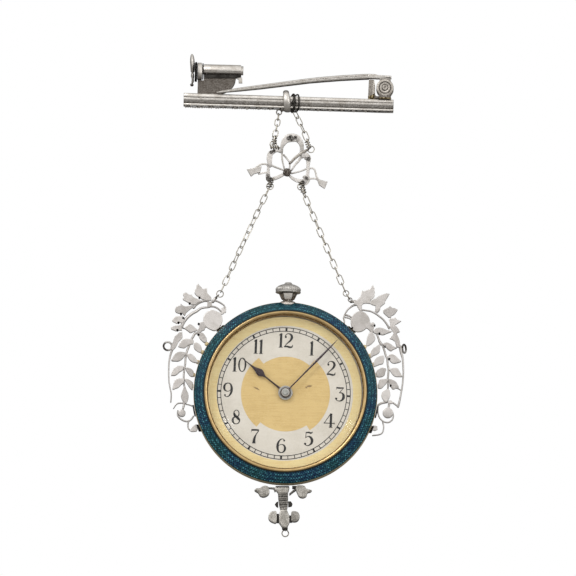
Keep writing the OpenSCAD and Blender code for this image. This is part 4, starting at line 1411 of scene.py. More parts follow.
@dataclass
class ChainRun:
    """One chain: links that interlock between two wires, and the rings at its ends.

    Attributes:
        node: the CAD node it replaces.
        start: the wire it starts from.
        end: the wire it ends at.
        links: number of links.
        sag: sideways sag.
        first_turn: turn of the first link about its length, in degrees.
        rings: centre and radius of each face-on ring.
        coils: ends and radius of each wound wire that closes a ring.
    """

    node: str
    start: Flat
    end: Flat
    links: int
    sag: float
    first_turn: float
    rings: tuple[tuple[Flat, float], ...] = ()
    coils: tuple[tuple[Flat, Flat, float], ...] = ()
    wire: float = 0.15
    link_width: float = 0.9
    reach: float = 0.27

    def step(self) -> float:
        """Turn from link to link that ends edge-on, near 90 degrees."""
        whole = 180 * floor(((self.links - 1) * 90 + self.first_turn) / 180 + 0.5)
        return (whole - self.first_turn) / (self.links - 1)

    def places(self) -> tuple[list[Vector], list[Vector], float]:
        """Centres and turns of the links, and the length of a link's middle line.

        Returns:
            Centres, Euler angles and that length.
        """
        a, b = Vector(self.start), Vector(self.end)
        along = (b - a).normalized()
        over = self.reach / 2
        s, e = a - along * over, b + along * over
        side = Vector((-along.y, along.x))
        ends = []
        for i in range(self.links + 1):
            t = i / self.links
            ends.append(s.lerp(e, t) + side * self.sag * 4 * t * (1 - t))
        centres, turns, longest = [], [], 0.0
        for i in range(self.links):
            p, q = ends[i], ends[i + 1]
            d = q - p
            heading = Matrix.Rotation(-atan2(d.y, d.x), 3, "Y")
            twist = Matrix.Rotation(radians(self.first_turn + i * self.step()), 3, "X")
            turns.append(Vector((heading @ twist).to_euler()))
            centres.append(Vector(((p.x + q.x) / 2, 0.0, (p.y + q.y) / 2)))
            longest = max(longest, d.length + self.reach)
        return centres, turns, longest

    def link_tree(self, material: Material) -> Tree:
        """Oval wire links on the seed points.

        Args:
            material: material of the wire.

        Returns:
            The Geometry Nodes tree.
        """
        g = Grower(f"{self.node}_links")
        length = g.size("Link length", 1.4 * MM)
        width = g.size("Link width", 0.75 * MM)
        wire = g.size("Wire radius", 0.075 * MM)
        frame = g.node("GeometryNodeCurvePrimitiveQuadrilateral", Width=length, Height=width)
        oval = g.node("GeometryNodeFilletCurve", {"mode": "POLY"}, Curve=frame, Count=5,
                      Radius=g.times(width, 0.499))
        round_wire = g.node("GeometryNodeCurvePrimitiveCircle", Resolution=8, Radius=wire)
        link = g.node("GeometryNodeCurveToMesh", Curve=oval, Profile_Curve=round_wire)
        return g.finish(g.stand(link), material)

    def ring_shell(self) -> Shell:
        """The face-on rings, each darker on one side with painted shade.

        Returns:
            The shell.
        """
        shell = Shell()
        for (x, z), radius in self.rings:
            path = circle(Vector((x, 0.0, z)), radius, RIGHT, UP, 32)
            # Painted shade: each ring is darker on one side.
            tone = [0.5 * max(0.0, cos(a - 1.2)) for a in full_turn(32)]
            shell.tube(path, self.wire / 2, ring=True, shade_and_patina=tone)
        return shell

    def coil_shell(self, pitch: float = 0.37, round_points: int = 16) -> Shell:
        """The wound wires, darker with painted shade where each turn passes behind.

        Args:
            pitch: distance from turn to turn.
            round_points: points in a turn.

        Returns:
            The shell.
        """
        shell = Shell()
        for head, foot, radius in self.coils:
            a, b = Vector((head[0], 0.0, head[1])), Vector((foot[0], 0.0, foot[1]))
            side = (b - a).normalized().cross(BACK)
            steps = round((b - a).length / pitch * round_points)
            path, tones = [], []
            for k in range(steps + 1):
                turn = 2 * pi * k / round_points
                path.append(a.lerp(b, k / steps) + radius * (side * cos(turn) + BACK * 0.8 * sin(turn)))
                # Painted shade: each turn is darker where the wire passes behind.
                tones.append(0.35 + 0.6 * max(0.0, sin(turn)))
            shell.tube(path, 0.1, 8, shade_and_patina=tones)
        return shell

    def build(self, shop: Workshop, look: Finishes) -> None:
        """Builds the links, the rings and the wound wires.

        Args:
            shop: the workshop that keeps the pieces.
            look: the finishes.
        """
        centres, turns, longest = self.places()
        seed = seed_points(f"{self.node}_seed", centres, turns)
        sizes = {"Link length": longest * MM, "Link width": (self.link_width - self.wire) * MM,
                 "Wire radius": self.wire / 2 * MM}
        links = grow(f"{self.node}_links", seed, self.link_tree(look.chain), sizes)
        shop.keep(links, look.chain, [self.node])
        shell = self.ring_shell()
        if self.node == "chain_lower_right":
            self.edge_ring(shell)
        shop.piece(f"{self.node}_rings", shell, look.chain)
        if self.coils:
            shop.piece(f"{self.node}_coils", self.coil_shell(), look.chain)

    def edge_ring(self, shell: Shell, centre: Flat = (9.3, -30.25), radius: float = 0.5,
                  fall: float = 57.0) -> None:
        """Adds the last ring, which lies edge-on and passes through the wing's eye.

        Args:
            shell: the shell that it goes into.
            centre: its centre.
            radius: its radius.
            fall: how steeply it hangs, in degrees.
        """
        along = Vector((cos(radians(fall)), 0.0, -sin(radians(fall))))
        shell.tube(circle(Vector((centre[0], 0.0, centre[1])), radius, along, BACK, 32), self.wire / 2,
                   ring=True)


def foot_of(centre: Flat, radius: float, towards: Flat) -> Flat:
    """Point on a ring's wire in the direction towards another point.

    Args:
        centre: the ring's centre.
        radius: its radius.
        towards: the other point.

    Returns:
        The point.
    """
    dx, dz = towards[0] - centre[0], towards[1] - centre[1]
    size = hypot(dx, dz)
    return centre[0] + radius * dx / size, centre[1] + radius * dz / size


# Ribbon bow


@dataclass
class RibbonBow:
    """The flat ribbon bow: loops, petals, tails and the folds that gather at the knot.

    Attributes:
        knot: the knot's middle.
        half: half the ribbon's thickness.
        step: how much deeper each following band lies.
        bow_rings: middles of the chains' rings at the bow.
        bands: steps of its path, widths and darkening of each band, painted shade and patina towards its
            ends.
    """

    knot: Flat = (-0.05, -11.45)
    half: float = 0.2
    step: float = 0.012
    bow_rings: tuple[Flat, ...] = ((-2.15, -7.2), (3.5, -7.9), (-2.6, -13.55), (2.05, -13.6))
    bands: tuple[tuple[Row, tuple[float, ...], float], ...] = (
        ((-87, -835, 4, 82, 43, 87, 57, 41, 69, 7, 63, -17, 47, -58, 18, -69, -6, -70), (0.35, 0.5, 0.95,
         1.25, 1.25, 1, 0.75, 0.6, 0.5), 0.45),
        ((-102, -835, -52, 17, -57, -12, -46, -35, -14, -64, 4, -70, 6, -47), (0.35, 0.35, 0.6, 0.8, 0.86,
         0.7, 0.5), 0.4),
        ((-250, -1034, 64, -28, 69, -27, 69, -24), (0.3, 0.24, 0.2), 0.3),
        ((-82, -858, 0, -70, 12, -69, 24, -93), (0.28, 0.22), 0.3),
        ((-56, -881, 41, -46, 35, -46, 17, -29, -5, -88), (0.28, 0.22, 0.25), 0.3),
        ((-284, -1034, -3, -82, -4, -81, 9, -46), (0.4, 0.42, 0.7, 0.8), 0.6),
        ((-36, -1160, -69, -41, -68, -30, -69, -18), (0.45, 0.5, 0.55, 0.5), 0.4),
        ((215, -902, 45, 24, 47, -46, 6, -58, -5, -59, 0, -69, -5, -58, -22, -70, -17, -41), (0.6, 0.95,
         0.9, 0.62, 0.5, 0.5, 0.5, 0.6, 0.6), 0.3),
        ((215, -890, -51, -82, -52, -59, -51, -82), (0.4, 0.36, 0.3, 0.25), 0.5),
        ((62, -1159, 74, 18, 81, 24, 80, 36), (0.25, 0.22), 0.3),
        ((33, -1194, 47, -40, 57, -29, 58, -11, 69, 6), (0.35, 0.45, 0.55, 0.6, 0.55), 0.3),
        ((308, -1099, 46, 22, 46, -15, 24, -52, 12, -58, 35, -58, 20, -35), (0.25, 0.26, 0.28, 0.34), 0.3),
        ((310, -1244, 57, 9, 58, -2, 40, -27), (0.25, 0.26), 0.3),
        ((-284, -1046, -40, 23, -46, 2, -46, -14, -69, -59), (0.25, 0.28, 0.34), 0.3),
        ((-289, -1150, -57, -1, -46, -12, -35, -6), (0.25, 0.3), 0.3),
        ((252, -1215, 57, 0, 1, -46, -34, -47, -58, -12), (0.5, 0.6, 0.5), 0.3))

    def ribbon(self) -> Shell:
        """All plain bands and the cut ends of the tails.

        Returns:
            The shell.
        """
        shell = Shell()
        for i, (path, widths, tone) in enumerate(self.bands):
            section = Section(-self.half + self.step * i, self.half - self.step * i, 0.02, 0.05)
            shell.ribbon(smooth_path(drawn(path), 8), widths, section, shade_and_patina=tone)
        for outline in ((-385, -1055, -225, -50, 65, -110, 45, 40, 90, 25),
                        (440, -1230, 60, -25, 105, -25, -45, -110, -85, 55)):
            shell.slab(drawn(outline), -self.half - self.step, self.half - 0.02, 0.08, 0.12)
        return shell

    def lumps(self) -> Shell:
        """The lumps on the top loop, on the right petal and at the lower corners, their fronts dark with
        painted shade.

        Returns:
            The shell.
        """
        shell = Shell()
        for x, z, size, tone in table(4, 10, -630, 30, 80, 45, -615, 34, 100, 80, -635, 28, 70,
                                      115, -615, 24, 90, 150, -650, 26, 40, 55, -650, 22, 90,
                                      245, -890, 34, 20, 290, -885, 36, 10, 315, -935, 32, 90,
                                      275, -930, 26, 60, -245, -840, 26, 80, -205, -820, 24, 100,
                                      -285, -1230, 34, 80, -245, -1255, 30, 100, -295, -1190, 26, 60,
                                      230, -1295, 30, 100, 285, -1230, 26, 90):
            centre = Vector((x, -self.half, z))
            dome = [(0.0, 0.12), (size * 0.98, 0.1), (size, 0.0), (size * 0.86, -0.045), (size * 0.5, -0.085),
                    (0.0, -0.1)]
            shell.lathe(dome, centre, 18, tones=[tone, tone, tone, tone * 0.7, tone * 0.3, 0.0])
        return shell

    def cords(self) -> Shell:
        """The dark twisted band to the upper right, and the dark knot.

        Returns:
            The shell.
        """
        shell = Shell()
        path = smooth_path(drawn((311, -793, -74, -39, -68, -47, -69, -59, -40, -47, -28, -23)), 10)
        widths = (0.3, 0.42, 0.42, 0.36, 0.3)
        front = -self.half - 2 * self.step
        shell.ribbon(path, widths, Section(front, self.half - 0.04, 0.05, 0.04), shade_and_patina=0.9)
        normals = side_normals(path)
        for i in range(2, len(path) - 2, 3):
            half = spread(widths, i / (len(path) - 1)) / 2
            (x, z), (nx, nz) = path[i], normals[i]
            ends = [Vector((x + s * nx * half + s * nz * 0.1, front + 0.02, z + s * nz * half - s * nx * 0.1))
                    for s in (1, -1)]
            shell.tube([ends[0], Vector((x, front - 0.07, z)), ends[1]], 0.05, 6, shade_and_patina=0.1)
        centre = Vector((self.knot[0], 0.0, self.knot[1]))
        shell.slab([(centre.x + 0.62 * cos(a) + 0.06 * sin(3 * a), centre.z + 0.62 * sin(a))
                    for a in full_turn(24)], front - 0.06, self.half, 0.12, 0.9)
        for k in range(-2, 3):
            dx = 0.24 * k
            reach = sqrt(0.6 ** 2 - dx * dx) * (1 if k % 2 else 0.8)
            arc = [centre + Vector((dx + 0.08 * cos(3 * t), front - 0.1 * cos(t), reach * sin(t)))
                   for t in (radians(d) for d in range(-80, 81, 16))]
            shell.tube(arc, 0.07, 8, shade_and_patina=0.6 + 0.2 * (k % 2))
        return shell

    def build(self, shop: Workshop, look: Finishes) -> None:
        """Builds the bow.

        Args:
            shop: the workshop that keeps the pieces.
            look: the finishes.
        """
        shop.piece("bow_ribbon", self.ribbon(), look.ribbon, ["bow"])
        shop.piece("bow_lumps", self.lumps(), look.ribbon)
        shop.piece("bow_twisted_band", self.cords(), look.fitting)


# Leaf sprays


@dataclass(frozen=True)
class LeafSpray:
    """One pierced wing: toothed leaves above, pairs of smooth leaves below, arches and stems.

    Attributes:
        name: name of the wing's CAD node.
        toothed: steps round the flat leaves and fillings that keep their corners.
        rounded: steps round the smooth leaves and the large disc.
        stems: steps along the arches and stems, with their widths.
        discs: places and radii of the round ends and beads.
        shadow_spots: places of the small dark spots at the leaves' feet that stand for shadow.
        solder: places of the gold solder that joins leaf tips to the case.
        ring: centre of the chain's last ring.
        lug: centre of the eye that the ring passes through.
        face_on: whether that eye faces the viewer.
        origin: the place that the steps of leaves and stems start from.
        front: depth of the front.
        back: depth of the back.
        step: how much deeper each following form lies.
        watch: the watch's middle.
        clear: radius round it that stays clear of the wing.
        arm: where the eye's arm starts, for the right wing.
    """

    name: str
    toothed: tuple[Row, ...]
    rounded: tuple[Row, ...]
    stems: tuple[tuple[Row, tuple[float, ...]], ...]
    discs: tuple[Triple, ...]
    shadow_spots: tuple[Flat, ...]
    solder: tuple[Flat, ...]
    ring: Flat
    lug: Flat
    face_on: bool
    origin: Flat
    front: float = 0.46
    back: float = 1.1
    step: float = 0.012
    watch: Flat = WATCH
    clear: float = 13.86
    arm: Flat = (11.0, -31.0)

    def button(self, shell: Shell, x: float, z: float, radius: float, front: float, shade_and_patina: float) -> None:
        """Adds a round peg with a low domed front.

        Args:
            shell: the shell that it goes into.
            x: its place in X.
            z: its place in Z.
            radius: its radius.
            front: depth of its front.
            shade_and_patina: darkening, painted shade and patina.
        """
        dome = [(radius * sin(radians(a)), -front - 0.08 * (1 - cos(radians(a))))
                for a in range(90, -1, -15)]
        shell.lathe([(0.0, -self.back), (radius, -self.back), *dome], Vector((x, 0.0, z)), 28, shade_and_patina)

    def leaves(self) -> Shell:
        """All leaves, arches, stems and discs, each at a depth of its own.

        Returns:
            The shell.
        """
        shell = Shell()
        leans = table(2, 5, 2, -3, 4, 2, -3, -5, 0, 3, 5)
        outlines = [drawn(steps, self.origin) for steps in self.toothed]
        outlines += [closed_curve(drawn(steps, self.origin)) for steps in self.rounded]
        for i, outline in enumerate(outlines):
            deeper = self.step * (i % 7) + (0.06 if i < len(self.toothed) else 0.0)
            shell.slab(outline, self.front + deeper, self.back - deeper, 0.06, 0.08 * (i % 3), leans[i % 5])
        for i, (steps, widths) in enumerate(self.stems):
            deeper = 0.1 + self.step * (i % 6)
            shell.ribbon(smooth_path(drawn(steps, self.origin), 5), widths,
                         Section(self.front + deeper, self.back - deeper, 0.1, 0.07), shade_and_patina=0.3)
        for x, z, radius in self.discs:
            self.button(shell, x, z, radius, self.front - 0.02, 0.1)
        a, (arm, foot) = self.lug, self.arm
        arm *= copysign(1.0, a[0])
        angle = atan2(a[1] - self.ring[1], a[0] - self.ring[0])
        path = [(arm, foot), ((arm + a[0]) / 2, foot + (a[1] - foot) * 0.6),
                (a[0] + 0.22 * cos(angle), a[1] + 0.22 * sin(angle))]
        shell.ribbon(smooth_path(path, 6), (0.45, 0.36), Section(self.front + 0.06, self.back, 0.14),
                     shade_and_patina=0.4)
        return shell

    def shadow_spots_and_tabs(self) -> Shell:
        """Small dark spots at the leaves' feet that stand for shadow, and the dark solder tabs on the case.

        Returns:
            The shell.
        """
        shell = Shell()
        # Painted shadow: dark buttons where the leaves meet.
        for x, z in self.shadow_spots:
            self.button(shell, x, z, 0.17, self.front - 0.03, 1.0)
        for z0, z1, reach in ((-34.6, -35.5, 0.25), (-46.75, -48.4, 0.2), (-49.7, -50.7, 0.35)):
            rows = []
            for z in (z0, (z0 + z1) / 2, z1):
                x = sqrt(self.clear ** 2 - (z - self.watch[1]) ** 2)
                rows.append(((x, z), (x + reach, z)))
            way = copysign(1.0, self.lug[0])
            outline = [(way * x, z) for x, z in [r[0] for r in rows] + [r[1] for r in reversed(rows)]]
            shell.slab(outline, self.front + 0.05, self.back + 0.15, 0.04, 0.6)
        return shell

    def joins(self) -> Shell:
        """The gold solder between leaf tips and case.

        Returns:
            The shell.
        """
        shell = Shell()
        for x, z in self.solder:
            self.button(shell, x, z, 0.3, self.front + 0.12, 0.2)
        return shell

    def eye(self) -> Shell:
        """The eye at the top, carried forward from the plate by a post.

        Returns:
            The shell.
        """
        shell = Shell()
        a = atan2(self.lug[1] - self.ring[1], self.lug[0] - self.ring[0])
        out = Vector((cos(a), 0.0, sin(a)))
        centre = Vector((self.lug[0], 0.0, self.lug[1]))
        shell.tube(circle(centre, 0.28, out, Vector((-out.z, 0.0, out.x)) if self.face_on else BACK), 0.075,
                   ring=True, shade_and_patina=0.6)
        shell.tube([centre + 0.28 * out + BACK * d for d in (0.0, 0.3, 0.62)], [0.1, 0.12, 0.14], 12,
                   shade_and_patina=0.6)
        return shell

    def build(self, shop: Workshop, look: Finishes) -> None:
        """Builds the wing.

        Args:
            shop: the workshop that keeps the pieces.
            look: the finishes.
        """
        parts = {"leaves": (self.leaves(), look.white), "eye": (self.eye(), look.chain),
                 "shadow_spots_and_tabs": (self.shadow_spots_and_tabs(), look.dark), "solder": (self.joins(), look.case_gold)}
        for key, (shell, finish) in parts.items():
            shell.keep_outside(self.watch, self.clear)
            replaced = [self.name] if key == "leaves" else []
            slot = "gold" if key == "solder" else "silver"
            shop.piece(f"{self.name}_{key}", shell, finish, replaced, slot)


def left_wing(ring: Flat, lug: Flat) -> LeafSpray:
    """The left wing, which hangs from its ring by an edge-on eye.

    Args:
        ring: centre of the chain's last ring.
        lug: centre of the eye.

    Returns:
        The wing.
    """
    toothed = (
        (-23, 1167, -29, -36, 3, -38, -28, -29, 0, -44, 26, -35, 38, -23, 41, -28, 52, -23, 98, 1, -1, 49,
         -40, 38, -24, 35, -3, 64, -23, -3, -40, -10, -27, 35, -26, 20),
        (-216, 1031, -31, -18, 0, -29, 18, -23, -23, -18, 0, -23, 32, -18, 35, -17, 34, -23, 47, -23, 46,
         9, 46, 33, 46, 18, -47, 28, -58, 23, -34, 15, -9, 32, -55, 5, -18, 23),
        (-280, 861, -15, -29, -46, -15, -22, -27, -6, -35, 15, -29, 32, -14, 34, -3, 26, 12, 21, -29, 23,
         -17, 17, 47, 40, 35, 34, 29, 26, 18, -3, 35, -58, -12, -52, -9, -29, 14, -23, 12),
        (-357, 668, -34, -30, -20, -35, 9, -17, 29, -12, 29, -17, 46, 18, 35, -11, 23, 11, 11, 41, -12, 35,
         -6, 29, -35, -6, -40, -3),
        (-361, 528, -35, -12, -31, -18, 6, -29, 32, -12, 34, -14, 41, 9, 52, 1, 5, 52, -23, 35, -47, -12),
        (-297, 427, 41, 6, 6, -87, -63, -71, -40, -82, -45, -47, -29, 23, 28, 105, 33, 94),
        (322, 799, 22, 7, 38, 23, 18, -11, -3, -87, -29, -8, -15, -19, -45, -4, -8, 23, 37, 23),
        (115, 895, 71, 1, 1, -76, -71, -8),
        (9, 576, 52, 16, 68, -68, -44, -31, -8, -30, -37, -16, -30, -23, -15, -23, -52, 4, 22, 19, 4, 38,
         22, 30),
        (-42, -965, 29, -76, -17, -35, -69, -6, -35, 17, 34, 58))
    rounded = (
        (-260, 490, 44, 8, 38, 35, 37, 17, 38, -17, 37, -34, 42, -41, -63, -21, -45, -19, -46, 31, -45,
         30),
        (10, 420, 34, 5, 38, -38, 30, -53, -3, -45, -30, -21, -38, 28, -34, 37, -18, 53),
        (-88, 312, -58, 13, -69, 3, -46, -23, -34, -47, -20, -51, 84, -21, 40, 22, 46, 33, 55, 10),
        (-70, 274, 69, -20, 41, -63, -17, -71, -64, 27, -40, 48),
        (-196, 110, -52, 20, -69, -4, -52, -38, -49, -90, 56, -12, 60, 3, 49, 32, 34, 45),
        (-181, 87, 60, 15, 49, -37, 38, -56, 30, -43, -70, 2, -58, 29, -32, 46),
        (-235, -92, -57, 11, -58, -18, -40, -47, -30, -79, 31, -8, 46, 8, 51, 45, 52, 36),
        (-200, -111, 52, -3, 52, -29, 18, -41, -11, -61, -43, 8, -38, 47, -24, 37),
        (-227, -284, -64, 11, -63, -24, -28, -59, -13, -87, 42, 12, 46, 18, 40, 41, 35, 29),
        (-216, -284, 52, 0, 58, -34, 18, -35, -7, -96, -45, 37, -29, 44, -27, 40),
        (-217, -378, 37, -75, 28, -76, -11, -76, -38, -55, -41, 47, -26, 72, 19, 70),
        (191, 769, 64, -20, 53, -26, 32, -53, 6, -61, -22, -68, -37, -54, -52, -34, -60, 14, -61, 34, -45,
         53, -14, 60, 13, 69, 52, 61))
    stems = (
        ((374, 803, -4, 34, -26, 24, -45, 27, -53, 22, -45, 5), (0.2, 0.24)),
        ((126, 907, -45, 2, -45, -11, -45, -20, -45, -30, -33, -42), (0.3, 0.4)),
        ((337, 730, -30, 38, -45, 34, -45, 18, -45, 4, -45, -12, -60, -5, -45, -11, -30, -19, -37, -27,
         -45, -23, -45, -31, -44, -38, -38, -46, -29, -46, -22, -53), (0.24, 0.26, 0.42, 0.5)),
        ((-31, 416, -34, -4, -24, -30, -16, -38, -23, -39), (0.3, 0.3)),
        ((-399, 181, -33, -105, -18, -106, -4, -105, 4, -163, 16, -105, 21, -105, -6, -122), (0.35, 0.22,
         0.2, 0.2)),
        ((-66, 417, -23, -47, -34, -58, -24, -76, -34, -88, -20, -94, -6, -93, -13, -94, -8, -93, 5, -117,
         9, -81), (0.34, 0.3, 0.26)),
        ((-201, -634, -52, -10, -46, -3, -40, -23, -38, -59), (0.25, 0.18, 0.14)),
        ((-216, -628, -7, -53, -18, -70), (0.4, 0.26)),
        ((-312, -763, -3, -59, 29, -49, 58, -39, 64, -11, 52, 29, 32, 47), (0.2, 0.24, 0.24)),
        ((-149, -919, -11, -59, 14, -58, 35, -23), (0.22, 0.2)),
        ((-189, -662, 46, -9, 43, -16), (0.16, 0.2)))
    discs = ((-15.52, -47.98, 0.56),)
    shadow_spots = table(2, -1577, -3295, -1542, -3358, -1614, -3427, -1628, -3541, -1448, -3134, -1302, -3045,
                 -1309, -3444, -1312, -3606)
    solder = table(2, -1189, -3743, -1251, -3868, -1319, -4020, -1383, -4214, -1397, -4388)
    return LeafSpray("wing_left", toothed, rounded, stems, discs, shadow_spots, solder, ring, lug, False,
                     (-13.0, -40.0))


def right_wing(ring: Flat, lug: Flat) -> LeafSpray:
    """The right wing, which hangs from its ring by a face-on eye.

    Args:
        ring: centre of the chain's last ring.
        lug: centre of the eye.

    Returns:
        The wing.
    """
    toothed = (
        (-2, 1172, -25, -35, -25, -32, -44, -16, -43, -19, -16, 15, -18, -22, -6, -41, -16, -41, -49, -48,
         -44, -20, 7, -44, 37, -12, 26, -50, 31, -38, 25, 7, -3, 82, 21, 25, 50, 7, 50, -6, 6, 51, 37, 32,
         25, 31, 3, 64, -4, 56),
        (249, 1035, -44, 12, -50, -16, -50, -19, -37, -20, -31, -31, -31, -1, -38, -32, -12, -44, 38, -19,
         44, -12, 0, -57, 19, -37, 19, 0, 31, 51, 12, 31, 31, 26, 31, 25, 0, 26, 18, 31, 25, 45),
        (257, 855, -25, -25, -44, -20, -37, -25, 6, -38, 38, -38, 38, -31, 38, -6, 6, 28, 37, 17, 31, 31,
         28, 48, -41, 25, -38, 3),
        (346, 679, -38, -13, -50, -1, -18, -19, 19, -44, 0, -57, 19, -50, 38, -31, 19, 13, 6, 44, -1, 44,
         31, 19, 56, 39, -31, 12, -44, 19),
        (372, 527, -31, -6, -6, -32, 19, -19, 50, -5, -19, 18, 12, 16),
        (-231, 855, 60, 15, 8, -53, -7, -45, -23, -1, -26, 53),
        (47, 849, 67, -14, -7, -46, -37, -46, -45, 23, 14, 45),
        (-101, 514, 31, -14, 37, -38, 8, -23, 30, 8, 3, 38, 15, 46, -27, 45, -52, 37),
        (241, 548, 115, 1, 53, -87, -52, -24, 35, -64, 18, -58, 7, -93, -58, 5, -24, 87, -46, 29, -35, 11,
         34, 42, 29, 46),
        (239, -584, 46, 6, 29, -23, -17, -29, -58, -1),
        (14, -959, 67, -11, 6, -53, -46, -20, -35, 14))
    rounded = (
        (11, 473, 45, 44, 81, 4, 70, -30, 81, -24, -75, -34, -52, -22, -46, 5, -41, 16, -46, 3),
        (-18, 454, 46, -36, 12, -68, -34, -55, -51, -41, -46, -10, -3, 62, 15, 76, 26, 56),
        (110, 267, -1, -105, -43, -47, -52, -22, -48, -35, 7, 91, 31, 58, 49, 33),
        (151, 273, 57, 26, 58, -19, 47, -37, 52, -24, -52, -26, -34, -24, -41, 17, -35, 35),
        (173, 98, 3, -52, -17, -68, -52, -17, -57, -24, -31, -7, 1, 67, 31, 59, 61, 36),
        (231, 90, 25, 26, 52, 3, 46, -28, 41, -41, 35, -37, -69, -27, -52, -3, -35, 23, -31, 40),
        (209, -106, -26, 17, -52, 2, -55, -34, -20, -39, 4, -61, 72, -5, 48, 27, 15, 49),
        (246, -108, 58, 20, 71, -2, 39, -58, 35, -67, -46, -6, -63, 5, -45, 39, -25, 39),
        (234, -257, -67, 1, -58, -14, -20, -64, -4, -59, 49, -8, 40, 38, 45, 50),
        (242, -257, 54, -6, 58, -31, 31, -49, 16, -43, -37, -4, -52, -24, -34, 40, -24, 53),
        (235, -407, 28, -27, 10, -59, -20, -67, -37, -45, -37, 15, -33, 52, -8, 47, 25, 49),
        (-189, 770, 56, -13, 53, -45, 31, -53, 8, -53, -22, -53, -34, -42, -44, -35, -49, -19, -53, -1,
         -52, 26, -27, 61, -10, 68, 13, 68, 44, 54, 45, 29))
    stems = (
        ((-427, 584, 0, 41, -12, 38, 11, 38, 25, 53, 30, 45, 37, 32, 41, 27, 56, 13), (0.2, 0.22, 0.3)),
        ((-413, 675, 41, -6, 42, -19), (0.2, 0.16)),
        ((-410, 713, 45, -11, 46, -26), (0.3, 0.22)),
        ((-179, 775, 20, 16, 41, -5, 75, -11, 53, -22, 53, -30, 45, -34, 45, -36, 38, -45, 31, -45, 22,
         -46), (0.24, 0.22, 0.26, 0.3)),
        ((-32, 447, 44, 19, 38, -26, 31, -60, 17, -61, 25, -49), (0.35, 0.24, 0.26)),
        ((63, 430, 35, -93, 44, -70, 30, -70, 24, -81, 26, -70, 8, -82, 12, -70, -4, -93, -6, -70, 5, -70,
         -2, -72), (0.28, 0.3, 0.26)),
        ((416, 234, 13, -81, 24, -93, 10, -140, 1, -117, -10, -140, -20, -129, -24, -128, -20, -76), (0.5,
         0.3, 0.24, 0.24, 0.34)),
        ((358, -385, 41, -17, 41, -26), (0.18, 0.14)),
        ((222, -602, -64, -13, -46, -19, -32, -33), (0.34, 0.3)),
        ((285, -601, 47, -23, 58, -46), (0.3, 0.22)),
        ((257, -619, -6, -58, -5, -47), (0.34, 0.3)),
        ((92, -673, -1, -99, 26, -72, 55, -53, 72, -14, 55, 34, 23, 66, -22, 76), (0.18, 0.22, 0.2)),
        ((163, -909, 15, -72, -16, -80, -51, -35, -98, -15), (0.2, 0.18)))
    discs = ((15.38, -47.68, 0.78), (13.0, -34.32, 0.33))
    shadow_spots = table(2, 1325, -3443, 1401, -3567, 1491, -3759, 1554, -3951, 1577, -4354, 995, -3487)
    solder = table(2, 1181, -3768, 1266, -3898, 1321, -4034, 1368, -4189, 1411, -4354)
    return LeafSpray("wing_right", toothed, rounded, stems, discs, shadow_spots, solder, ring, lug, True,
                     (13.0, -40.0))


@dataclass
class SideRing:
    """The wire ring at a wing's outer edge, darker on one side with painted shade."""

    node: str
    centre: Triple
    turned: float
    dark_from: float
    even_darkening: float
    radius: float = 0.62
    wire: float = 0.15

    def build(self, shop: Workshop, look: Finishes) -> None:
        """Builds the ring.

        Args:
            shop: the workshop that keeps the pieces.
            look: the finishes.
        """
        shell = Shell()
        across = Matrix.Rotation(radians(self.turned), 3, "Z") @ RIGHT
        # Painted shade: the ring darkens towards the angle dark_from, on top of an even darkening.
        tone = [self.even_darkening + 1.3 * cos(a - radians(self.dark_from)) for a in full_turn(40)]
        shell.tube(circle(Vector(self.centre), self.radius, across, UP, 40), self.wire, 12, ring=True,
                   shade_and_patina=[max(0.0, min(1.0, t)) for t in tone])
        shop.piece(f"{self.node}_wire", shell, look.white, [self.node])


# Watch


